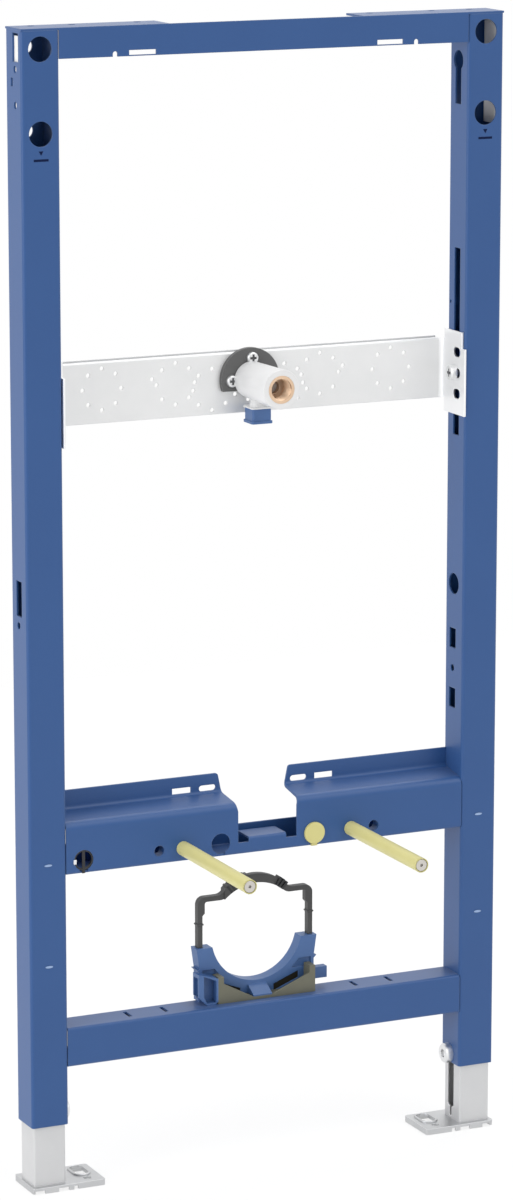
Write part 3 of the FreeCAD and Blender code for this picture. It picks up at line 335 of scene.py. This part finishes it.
def blue_coat():
    """Satin powder coat with a light orange peel."""
    finish = Finish("blue_powder_coat", metallic=0.0, cloud_scale=9.0, grain_scale=650.0, edge_radius=0.0012)
    # The lighter third colour is a painted highlight along the edges
    finish.colour((30, 74, 131), (38, 81, 138), (62, 98, 152))
    finish.roughness(0.38, 0.48)
    finish.bump(0.00005)
    finish.shader.inputs["Sheen Weight"].default_value = 0.16
    finish.shader.inputs["Sheen Roughness"].default_value = 0.45
    finish.shader.inputs["Sheen Tint"].default_value = (0.95, 0.96, 1.0, 1.0)
    return finish.material


def rolled_zinc(name, dark, light, edge, metallic=1.0, edge_radius=0.0008):
    """Zinc plate over rolled steel, with faint rolling lines."""
    finish = Finish(name, metallic, cloud_scale=30.0, grain_scale=500.0, edge_radius=edge_radius)
    finish.colour(dark, light, edge)
    lines = finish.add_group(LINES, {"Across": 900.0, "Along": 8.0})
    finish.roughness(0.36, 0.50, lines.outputs["Lines"])
    finish.bump(0.00003, lines.outputs["Lines"])
    return finish.material


def threaded_zinc():
    """Zinc stud with the ridges of its thread along Y."""
    finish = Finish("threaded_zinc", metallic=1.0, cloud_scale=30.0, grain_scale=500.0, edge_radius=0.0004)
    finish.colour((196, 192, 186), (212, 208, 202), (222, 219, 214))
    place = finish.tree.nodes.new("ShaderNodeTexCoord")
    ridges = finish.tree.nodes.new("ShaderNodeTexWave")
    ridges.bands_direction = "Y"
    ridges.inputs["Scale"].default_value = 180.0
    finish.tree.links.new(place.outputs["Object"], ridges.inputs["Vector"])
    finish.roughness(0.25, 0.40)
    finish.bump(0.0005, ridges.outputs["Fac"])
    return finish.material


def moulded(name, dark, light, edge, low, high, gloss=0.5):
    """Moulded plastic, print or dull metal with a fine grain, and its range of roughness."""
    finish = Finish(name, metallic=0.0, cloud_scale=40.0, grain_scale=1500.0, edge_radius=0.0006)
    finish.shader.inputs["Specular IOR Level"].default_value = gloss
    finish.colour(dark, light, edge)
    finish.roughness(low, high)
    finish.bump(0.00004)
    return finish.material


def turned_brass():
    """Turned brass with fine rings round the inlet's axis."""
    finish = Finish("turned_brass", metallic=1.0, cloud_scale=60.0, grain_scale=900.0, edge_radius=0.0004)
    finish.colour((214, 182, 152), (230, 203, 176), (240, 220, 198))
    place = finish.tree.nodes.new("ShaderNodeTexCoord")
    centre = finish.tree.nodes.new("ShaderNodeMapping")
    centre.inputs["Location"].default_value = (0, 0, -INLET_LEVEL * MM)
    rings = finish.tree.nodes.new("ShaderNodeTexWave")
    rings.wave_type = "RINGS"
    rings.rings_direction = "Y"
    rings.inputs["Scale"].default_value = 700.0
    rings.inputs["Distortion"].default_value = 0.6
    finish.tree.links.new(place.outputs["Object"], centre.inputs["Vector"])
    finish.tree.links.new(centre.outputs["Vector"], rings.inputs["Vector"])
    finish.roughness(0.34, 0.50, rings.outputs["Fac"])
    finish.bump(0.00004, rings.outputs["Fac"])
    return finish.material


# The third colour of each finish here and below lies over its edges: lighter, as a painted highlight, on all
# but the pale yellow sleeves, which are darker there
FINISHES = {
    "blue_coat": blue_coat(),
    "zinc": rolled_zinc("bright_zinc_plate", (220, 221, 222), (236, 236, 236), (246, 246, 247)),
    "yellow_plastic": moulded("pale_yellow_sleeve", (203, 195, 127), (214, 208, 142), (138, 130, 78),
                              0.32, 0.44),
    "dark_plastic": moulded("dark_grey_plastic", (80, 80, 80), (98, 98, 98), (124, 124, 124), 0.42, 0.55),
    "white_plastic": moulded("white_connector", (221, 221, 221), (231, 231, 231), (238, 238, 238),
                             0.30, 0.42),
    "brass": turned_brass(),
    "blue_plastic": moulded("blue_plastic", (60, 93, 144), (71, 105, 156), (96, 126, 174), 0.36, 0.48),
    "olive_plastic": moulded("olive_grey_plastic", (94, 94, 80), (112, 111, 95), (128, 127, 110), 0.44, 0.56),
}
# Legs: darker base colour as painted reflection of the darker floor on the fronts, near-white colour over
# wide edges as a painted highlight line along the corners
LEG_ZINC = rolled_zinc("drawn_leg_zinc_painted_highlight", (199, 200, 201), (211, 211, 212), (252, 252, 253),
                       metallic=0.5, edge_radius=0.0020)
PLATE_ZINC = rolled_zinc("rolled_plate_zinc", (225, 226, 226), (235, 235, 235), (238, 238, 238), metallic=0.4)
# Darker zinc of the lip's edge: painted shade
SHADED_LIP_ZINC = rolled_zinc("lip_zinc_painted_shade", (190, 191, 192), (204, 205, 206), (210, 211, 212), metallic=0.6)
# Darker zinc of the foot plates and their rims: painted shade
SHADED_FOOT_ZINC = rolled_zinc("foot_zinc_painted_shade", (185, 186, 188), (204, 205, 206), (220, 221, 222))
EAR_ZINC = rolled_zinc("polished_ear_zinc", (238, 239, 240), (247, 247, 248), (250, 250, 250))
# Anchor strips coloured near white as painted light inside the dark uprights
LIT_STRIP_ZINC = moulded("strip_zinc_painted_light", (236, 233, 228), (246, 244, 240), (248, 247, 244), 0.40, 0.52)
STUD_ZINC = threaded_zinc()
STRAP_FINISH = moulded("strap_grey", (54, 54, 54), (70, 70, 70), (88, 88, 88), 0.42, 0.55)
CLIP_FINISH = moulded("black_clip", (26, 27, 30), (38, 39, 42), (54, 55, 60), 0.36, 0.48)
PRINT_FINISH = moulded("navy_print", (8, 22, 58), (12, 28, 66), (14, 32, 72), 0.50, 0.60, gloss=0.1)
# Dark cross in the screw recesses: painted shade
RECESS_FINISH = moulded("shaded_recess", (84, 84, 86), (100, 100, 102), (112, 112, 114), 0.50, 0.60,
                        gloss=0.1)
# Dashes lighter than the coat: painted highlight
DASH_HIGHLIGHT_FINISH = moulded("dash_painted_highlight", (132, 158, 200), (154, 178, 214), (172, 194, 226), 0.36, 0.46)
# Near-black olive of the cell plates: painted shade
SHADE_FINISH = moulded("deep_olive_shade", (32, 31, 26), (44, 42, 35), (54, 52, 44), 0.55, 0.65, gloss=0.1)

# Solids with a finish of their own: pairs with a left and a right one, and single ones
PAIR_FINISHES = {"stud": STUD_ZINC, "leg": LEG_ZINC, "foot_plate": SHADED_FOOT_ZINC, "plate_ear": EAR_ZINC,
                 "anchor_strip": LIT_STRIP_ZINC}
SINGLE_FINISHES = {"keyhole_clip": CLIP_FINISH, "mounting_plate": PLATE_ZINC, "pipe_strap": STRAP_FINISH}


def dress_solids():
    """Gives every solid the finish of its material slot, or its own."""
    finishes = {part["node"]: FINISHES[part["material_slot"]] for part in frame["record"]["subparts"]}
    finishes.update({f"{side}_{name}": finish for name, finish in PAIR_FINISHES.items() for side, _ in SIDES})
    finishes.update(SINGLE_FINISHES)
    for name, finish in finishes.items():
        for holder in frame["nodes"][name].material_slots:
            holder.material = finish


def put_in_scene(name, content):
    """A new object for a mesh, a lamp or a camera."""
    item = bpy.data.objects.new(name, content)
    bpy.context.scene.collection.objects.link(item)
    return item


def mesh_from(name, work):
    """Turns a finished bmesh into a mesh."""
    mesh = bpy.data.meshes.new(name)
    work.to_mesh(mesh)
    work.free()
    return mesh


def add_piece(name, work, slot, body, turn=Matrix.Identity(4), place=(0, 0, 0), finish=None):
    """Finishes a shape drawn in millimetres round its own origin and seats it on a body."""
    seat = Matrix.Scale(MM, 4) @ Matrix.Translation(place) @ turn
    bmesh.ops.transform(work, matrix=seat, verts=work.verts)
    bmesh.ops.remove_doubles(work, verts=work.verts, dist=1e-7)
    bmesh.ops.recalc_face_normals(work, faces=work.faces)
    mesh = mesh_from(name, work)
    mesh.materials.append(finish or FINISHES[slot])
    piece = put_in_scene(name, mesh)
    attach(piece, body)
    return piece


def moved_verts(result):
    """The new vertices of an extrusion."""
    return [item for item in result["geom"] if isinstance(item, bmesh.types.BMVert)]


def open_rims(work):
    """The edges with a face on one side only."""
    return [edge for edge in work.edges if edge.is_boundary]


def grow_rim(work, spread, drop):
    """Carries the open rim of a head outwards and down."""
    verts = moved_verts(bmesh.ops.extrude_edge_only(work, edges=open_rims(work)))
    bmesh.ops.scale(work, vec=(spread, spread, 1), verts=verts)
    bmesh.ops.translate(work, vec=(0, 0, -drop), verts=verts)


def close_rims(work):
    """Fills what is still open."""
    bmesh.ops.holes_fill(work, edges=open_rims(work), sides=0)


def soften(work, geometry, offset, segments, affect="EDGES"):
    """Rounds edges, or the corners of a flat shape."""
    bmesh.ops.bevel(work, geom=geometry, offset=offset, offset_type="OFFSET", segments=segments, profile=0.5,
                    affect=affect, material=-1)


def cross_head(radius, height):
    """Pan head with a cross recess, looking along +Z from a seat at z = 0."""
    work = bmesh.new()
    bmesh.ops.create_circle(work, cap_ends=True, segments=40, radius=0.72 * radius)
    arm, reach = 0.20 * radius, 0.60 * radius
    for limit in (arm, reach):
        for normal in (Vector((1, 0, 0)), Vector((0, 1, 0))):
            for way in (-1, 1):
                geometry = work.verts[:] + work.edges[:] + work.faces[:]
                bmesh.ops.bisect_plane(work, geom=geometry, dist=1e-6, plane_co=normal * limit * way,
                                       plane_no=normal)
    recess = []
    for face in work.faces:
        across, up = map(abs, face.calc_center_median()[:2])
        if min(across, up) < arm and max(across, up) < reach:
            recess.append(face)
    floor = moved_verts(bmesh.ops.extrude_face_region(work, geom=recess))
    bmesh.ops.delete(work, geom=recess, context="FACES")
    bmesh.ops.translate(work, vec=(0, 0, -0.40 * height), verts=floor)
    bmesh.ops.scale(work, vec=(0.86, 0.86, 1), verts=floor)
    for spread, drop in ((1.2, 0.12), (1.1, 0.25), (1.05, 0.30), (1.0, 0.33)):
        grow_rim(work, spread, drop * height)
    close_rims(work)
    bmesh.ops.translate(work, vec=(0, 0, height), verts=work.verts)
    return work


def recess_shade_cross(radius, height):
    """Dark cross over the floor of a screw head's recess, as painted shade."""
    work = bmesh.new()
    arm, reach = 0.17 * radius, 0.52 * radius
    bmesh.ops.create_grid(work, x_segments=3, y_segments=3, size=1)
    for vert in work.verts:
        for axis in (0, 1):
            limit = arm if abs(vert.co[axis]) < 0.5 else reach
            vert.co[axis] = math.copysign(limit, vert.co[axis])
    corners = [face for face in work.faces if min(map(abs, face.calc_center_median()[:2])) > arm]
    bmesh.ops.delete(work, geom=corners, context="FACES")
    bmesh.ops.solidify(work, geom=work.faces[:], thickness=LAYER)
    bmesh.ops.translate(work, vec=(0, 0, 0.75 * height), verts=work.verts)
    return work


def thread_ridge(base, crest, pitch, turns):
    """Helical ridge round the Y axis, from y = 0 to the back."""
    work = bmesh.new()
    flank = 0.40 * pitch
    section = [work.verts.new((radius, y, 0)) for radius, y in ((base, -flank), (crest, 0.0), (base, flank))]
    edges = [work.edges.new((section[index], section[(index + 1) % 3])) for index in range(3)]
    climb = (0, pitch / THREAD_STEPS, 0)
    bmesh.ops.spin(work, geom=section + edges, cent=(0, 0, 0), axis=(0, 1, 0), dvec=climb,
                   angle=2 * math.pi * turns, steps=THREAD_STEPS * turns, use_merge=False,
                   use_normal_flip=False, use_duplicate=False)
    close_rims(work)
    return work


def turned(profile, closed=True):
    """Shape turned about the Y axis from a profile of radius and Y; an open one ends on the axis."""
    work = bmesh.new()
    section = [work.verts.new((radius, y, 0)) for radius, y in profile]
    first = 0 if closed else 1
    edges = [work.edges.new((section[index - 1], section[index])) for index in range(first, len(section))]
    bmesh.ops.spin(work, geom=section + edges, cent=(0, 0, 0), axis=(0, 1, 0), dvec=(0, 0, 0),
                   angle=2 * math.pi, steps=TURNING_STEPS, use_merge=True, use_normal_flip=False,
                   use_duplicate=False)
    return work


def square_stack(half, steps):
    """Square with rounded corners, carried down from z = 0 through steps of spread and drop."""
    work = bmesh.new()
    bmesh.ops.create_grid(work, x_segments=1, y_segments=1, size=half)
    soften(work, work.verts[:], SQUARE_CORNER, 5, affect="VERTICES")
    for spread, drop in steps:
        grow_rim(work, spread, drop)
    close_rims(work)
    return work


def rounded_block(width, depth, height, softness):
    """Block with rounded edges."""
    work = bmesh.new()
    bmesh.ops.create_cube(work, size=1)
    bmesh.ops.scale(work, vec=(width, depth, height), verts=work.verts)
    soften(work, work.edges[:], softness, 3)
    return work


def pressed_dash(length, width, height):
    """Low lens-shaped lance that stands proud of the sheet."""
    work = bmesh.new()
    bmesh.ops.create_circle(work, cap_ends=True, segments=28, radius=0.5)
    bmesh.ops.scale(work, vec=(length, width, 1), verts=work.verts)
    for share in (0.10, 0.14):
        top = [face for face in work.faces if len(face.verts) > 4]
        bmesh.ops.inset_region(work, faces=top, thickness=share * width, depth=height / 2,
                               use_even_offset=True)
    close_rims(work)
    return work


def print_mark():
    """Plain triangle over a plain bar, as a thin printed layer."""
    work = bmesh.new()
    bmesh.ops.create_circle(work, cap_ends=True, segments=3, radius=MARK_TRIANGLE)
    bmesh.ops.rotate(work, cent=(0, 0, 0), matrix=Matrix.Rotation(math.pi, 3, "Z"), verts=work.verts)
    bmesh.ops.translate(work, vec=(0, MARK_TRIANGLE_RISE, 0), verts=work.verts)
    bar = bmesh.ops.create_grid(work, x_segments=8, y_segments=1, size=1)["verts"]
    bmesh.ops.scale(work, vec=(*MARK_BAR, 1), verts=bar)
    bmesh.ops.translate(work, vec=(0, -MARK_BAR_DROP, 0), verts=bar)
    bmesh.ops.solidify(work, geom=work.faces[:], thickness=LAYER)
    return work


def slot_rim(radius, run, wall, height):
    """Low pressed lip round a slot that runs along Y."""
    work = bmesh.new()
    segments = 36
    bmesh.ops.create_circle(work, cap_ends=True, segments=segments, radius=radius + wall)
    half_step = Matrix.Rotation(math.pi / segments, 3, "Z")
    bmesh.ops.rotate(work, cent=(0, 0, 0), matrix=half_step, verts=work.verts)
    for vert in work.verts:
        vert.co.y += math.copysign(run / 2, vert.co.y)
    middle = work.faces[:]
    bmesh.ops.inset_individual(work, faces=middle, thickness=wall, depth=0, use_even_offset=True)
    bmesh.ops.delete(work, geom=middle, context="FACES")
    top = moved_verts(bmesh.ops.extrude_face_region(work, geom=work.faces[:]))
    bmesh.ops.translate(work, vec=(0, 0, height), verts=top)
    work.normal_update()
    rims = []
    for edge in work.edges:
        if set(edge.verts) <= set(top) and edge.calc_face_angle(0) > SHARP_ANGLE:
            rims.append(edge)
    soften(work, rims, height / 2, 2)
    return work


def slanted_cell(run, climb, height):
    """Thin slanted dark plate, painted shade in one cell of the cradle, in X and Z from its lower near
    corner.
    """
    work = bmesh.new()
    bmesh.ops.create_grid(work, x_segments=4, y_segments=2, size=0.5)
    bmesh.ops.rotate(work, cent=(0, 0, 0), matrix=Matrix.Rotation(math.pi / 2, 3, "X"), verts=work.verts)
    bmesh.ops.translate(work, vec=(0.5, 0, 0.5), verts=work.verts)
    bmesh.ops.scale(work, vec=(run, 1, height), verts=work.verts)
    slant = Matrix.Identity(4)
    slant[2][0] = climb / run
    bmesh.ops.transform(work, matrix=slant, verts=work.verts)
    bmesh.ops.solidify(work, geom=work.faces[:], thickness=CELL_WALL)
    return work


def add_screw(name, radius, height, turn, place):
    """Cross-head screw on the water plate, with painted shade in its recess."""
    add_piece(name, cross_head(radius, height), "zinc", "water_plate", turn, place)
    add_piece(f"{name}_recess", recess_shade_cross(radius, height), "dark_plastic", "water_plate", turn, place,
              RECESS_FINISH)


def add_fasteners():
    """Screws of the water connector and of the plate's ears."""
    for where, across, rise in FLANGE_SCREWS:
        place = (across, FLANGE_FRONT, INLET_LEVEL + rise)
        add_screw(f"{where}_flange_screw", *FLANGE_HEAD, FRONTWARD, place)
    for side, sign in SIDES:
        low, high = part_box(f"{side}_ear_screw")
        head = (high.x if sign < 0 else low.x) / MM
        middle = (low + high) / (2 * MM)
        inward = Matrix.Rotation(math.radians(-90 * sign), 4, "Y")
        add_screw(f"{side}_ear_screw_crown", *EAR_HEAD, inward, (head, middle.y, middle.z))


def add_thread():
    """Pipe thread inside the brass inlet."""
    ridge = thread_ridge(THREAD_ROOT, THREAD_CREST, THREAD_PITCH, THREAD_TURNS)
    add_piece("inlet_thread", ridge, "brass", "water_plate",
              place=(0, INLET_FRONT + THREAD_START, INLET_LEVEL))


def add_connector():
    """Body of the water connector, the spigot and flange under it, and the square plug."""
    body = add_piece("connector_cone", turned(CONE_PROFILE, closed=False), "white_plastic", "water_plate",
                     place=(0, 0, INLET_LEVEL))
    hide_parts("connector_body")
    add_piece("connector_spigot", turned(SPIGOT_PROFILE, closed=False), "white_plastic", "water_plate",
              FRONTWARD.inverted(), (0, SPIGOT_PLACE, PLUG_TOP + SPIGOT_SEAT))
    add_piece("spigot_flange", square_stack(SPIGOT_FLANGE_HALF, SPIGOT_FLANGE_STEPS), "white_plastic",
              "water_plate", place=(0, SPIGOT_PLACE, PLUG_TOP + SPIGOT_FLANGE_RISE))
    plug = add_piece("square_plug", square_stack(PLUG_HALF, PLUG_STEPS), "blue_plastic", "water_plate",
                     place=(0, SPIGOT_PLACE, PLUG_TOP))
    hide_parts("connector_plug")


def add_plate_lip():
    """Turned-up rear edge on the lip of the mounting plate, in a darker zinc as painted shade along the lip.
    """
    low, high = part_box("mounting_plate")
    length = (high.x - low.x) / MM - LIP_SHORTER
    add_piece("plate_lip_edge", rounded_block(length, *LIP_SECTION, LIP_SOFTNESS), "zinc", "water_plate",
              place=(0, high.y / MM - LIP_SEAT, high.z / MM + LIP_SEAT), finish=SHADED_LIP_ZINC)


def add_bar_details():
    """Drawn collars in the wide stud holes, and a bright zinc pin beside the keyhole's clip that stands as a
    painted glint.
    """
    for side, sign in SIDES:
        add_piece(f"{side}_hole_collar", turned(COLLAR_PROFILE), "blue_coat", "frame",
                  place=(sign * WIDE_HOLE, 0, STUD_LEVEL))
    add_piece("clip_glint_pin", rounded_block(*CLIP_GLINT_PIN_SIZE, CLIP_GLINT_PIN_SOFTNESS), "zinc", "frame", place=CLIP_GLINT_PIN)


def add_upright_marks():
    """Pressed dashes, coloured lighter than the coat as a painted highlight, and printed marks on the fronts
    of the uprights.
    """
    for side, sign in SIDES:
        for name, level in DASH_LEVELS:
            add_piece(f"{side}_{name}_dash", pressed_dash(*DASH_SIZE), "blue_coat", "frame", FRONTWARD,
                      (sign * UPRIGHT_AXIS, UPRIGHT_FRONT, level), DASH_HIGHLIGHT_FINISH)
        add_piece(f"{side}_mark", print_mark(), "dark_plastic", "frame", FRONTWARD,
                  (sign * UPRIGHT_AXIS, UPRIGHT_FRONT - MARK_LIFT, MARK_LEVEL), PRINT_FINISH)


def add_foot_rims():
    """Pressed lip round the floor slot of each foot plate, in the feet's darker zinc that is painted shade.
    """
    for side, sign in SIDES:
        rim = slot_rim(FOOT_SLOT_RADIUS, FOOT_SLOT_RUN, RIM_WALL, RIM_HEIGHT)
        add_piece(f"{side}_slot_rim", rim, "zinc", f"{side}_leg_unit",
                  place=(sign * FOOT_SLOT, FOOT_SLOT_MIDDLE, FOOT_TOP - RIM_SINK), finish=SHADED_FOOT_ZINC)


def add_cradle_shade():
    """Dark plates as painted shade inside the two slanted cells of the cradle."""
    for side, sign in SIDES:
        add_piece(f"{side}_cell_shade", slanted_cell(CELL_RUN, CELL_CLIMB, CELL_HEIGHT), "olive_plastic",
                  "frame", Matrix.Diagonal((sign, 1, 1, 1)), (sign * CELL_START, CELL_FACE, CELL_LEVEL),
                  SHADE_FINISH)


def add_strap_details():
    """Grip ribs on both shoulders of the strap's arch, and a collar on each of its arms."""
    for side, sign in SIDES:
        start, count = RIB_ROWS[side]
        for number in range(count):
            angle = math.radians(sign * (start + RIB_PITCH * number))
            place = (RIB_RADIUS * math.sin(angle), STRAP_MIDDLE, STRAP_HUB + RIB_RADIUS * math.cos(angle))
            add_piece(f"{side}_strap_rib_{number + 1}", rounded_block(*RIB_SIZE, STRAP_SOFTNESS),
                      "dark_plastic", "frame", Matrix.Rotation(angle, 4, "Y"), place, CLIP_FINISH)
        add_piece(f"{side}_strap_collar", rounded_block(*ARM_COLLAR_SIZE, STRAP_SOFTNESS), "dark_plastic",
                  "frame", place=(sign * STRAP_ARM, STRAP_MIDDLE, ARM_COLLAR_LEVEL), finish=STRAP_FINISH)


def floor_finish():
    """Pale paint, mostly clear to the rays that show the surroundings, under a thin white veil."""
    material = bpy.data.materials.new("pale_floor")
    material.use_nodes = True
    tree = material.node_tree
    paint = tree.nodes["Principled BSDF"]
    paint.inputs["Base Color"].default_value = (FLOOR_PAINT, FLOOR_PAINT, FLOOR_PAINT, 1)
    paint.inputs["Roughness"].default_value = 0.9
    paint.inputs["Specular IOR Level"].default_value = 0.0
    clear = tree.nodes.new("ShaderNodeBsdfTransparent")
    seen = add_seen_rays(tree)
    blend = tree.nodes.new("ShaderNodeMixShader")
    tree.links.new(add_math(tree, "MULTIPLY", seen, FLOOR_CLEAR), blend.inputs[0])
    tree.links.new(paint.outputs[0], blend.inputs[1])
    tree.links.new(clear.outputs[0], blend.inputs[2])
    veil = tree.nodes.new("ShaderNodeEmission")
    tree.links.new(add_math(tree, "MULTIPLY", seen, FLOOR_VEIL), veil.inputs["Strength"])
    both = tree.nodes.new("ShaderNodeAddShader")
    tree.links.new(blend.outputs[0], both.inputs[0])
    tree.links.new(veil.outputs[0], both.inputs[1])
    tree.links.new(both.outputs[0], tree.nodes["Material Output"].inputs["Surface"])
    return material


def make_floor():
    """Pale floor that keeps the frame's shadow and shows a lengthened leg below its level."""
    work = bmesh.new()
    bmesh.ops.create_grid(work, x_segments=8, y_segments=8, size=FLOOR_HALF)
    bmesh.ops.translate(work, vec=(0, 0, -FLOOR_SINK), verts=work.verts)
    mesh = mesh_from("floor", work)
    mesh.materials.append(floor_finish())
    floor = put_in_scene("floor", mesh)


def light_the_room():
    """White surroundings and soft lamps from the right, from the left, and from behind and above."""
    world = bpy.data.worlds.new("studio")
    bpy.context.scene.world = world
    world.use_nodes = True
    tree = world.node_tree
    sky = tree.nodes["Background"]
    sky.inputs["Color"].default_value = (1, 1, 1, 1)
    strength = add_range(tree, add_seen_rays(tree), ROOM_LIGHT, 1.0)
    tree.links.new(strength, sky.inputs["Strength"])
    for name, place, size, energy in LAMPS:
        lamp = bpy.data.lights.new(name, "AREA")
        lamp.shape = "DISK"
        lamp.size = size
        lamp.energy = energy
        holder = put_in_scene(name, lamp)
        holder.location = place
        holder.rotation_euler = (LAMP_TARGET - holder.location).to_track_quat("-Z", "Y").to_euler()


def aim_camera():
    """Camera at the photograph's angle."""
    camera = bpy.data.cameras.new("camera")
    camera.sensor_fit = "VERTICAL"
    camera.sensor_height = CAMERA_SENSOR
    camera.lens = CAMERA_LENS
    holder = put_in_scene("camera", camera)
    azimuth, elevation = math.radians(CAMERA_AZIMUTH), math.radians(CAMERA_ELEVATION)
    away = Vector((math.sin(azimuth) * math.cos(elevation), -math.cos(azimuth) * math.cos(elevation),
                   math.sin(elevation)))
    holder.location = CAMERA_TARGET + away * CAMERA_DISTANCE
    holder.rotation_euler = (-away).to_track_quat("-Z", "Y").to_euler()
    bpy.context.scene.camera = holder


dress_solids()
add_fasteners()
add_thread()
add_connector()
add_plate_lip()
add_bar_details()
add_upright_marks()
add_foot_rims()
add_cradle_shade()
add_strap_details()
make_floor()
light_the_room()
aim_camera()
bpy.context.scene.view_settings.view_transform = "Standard"
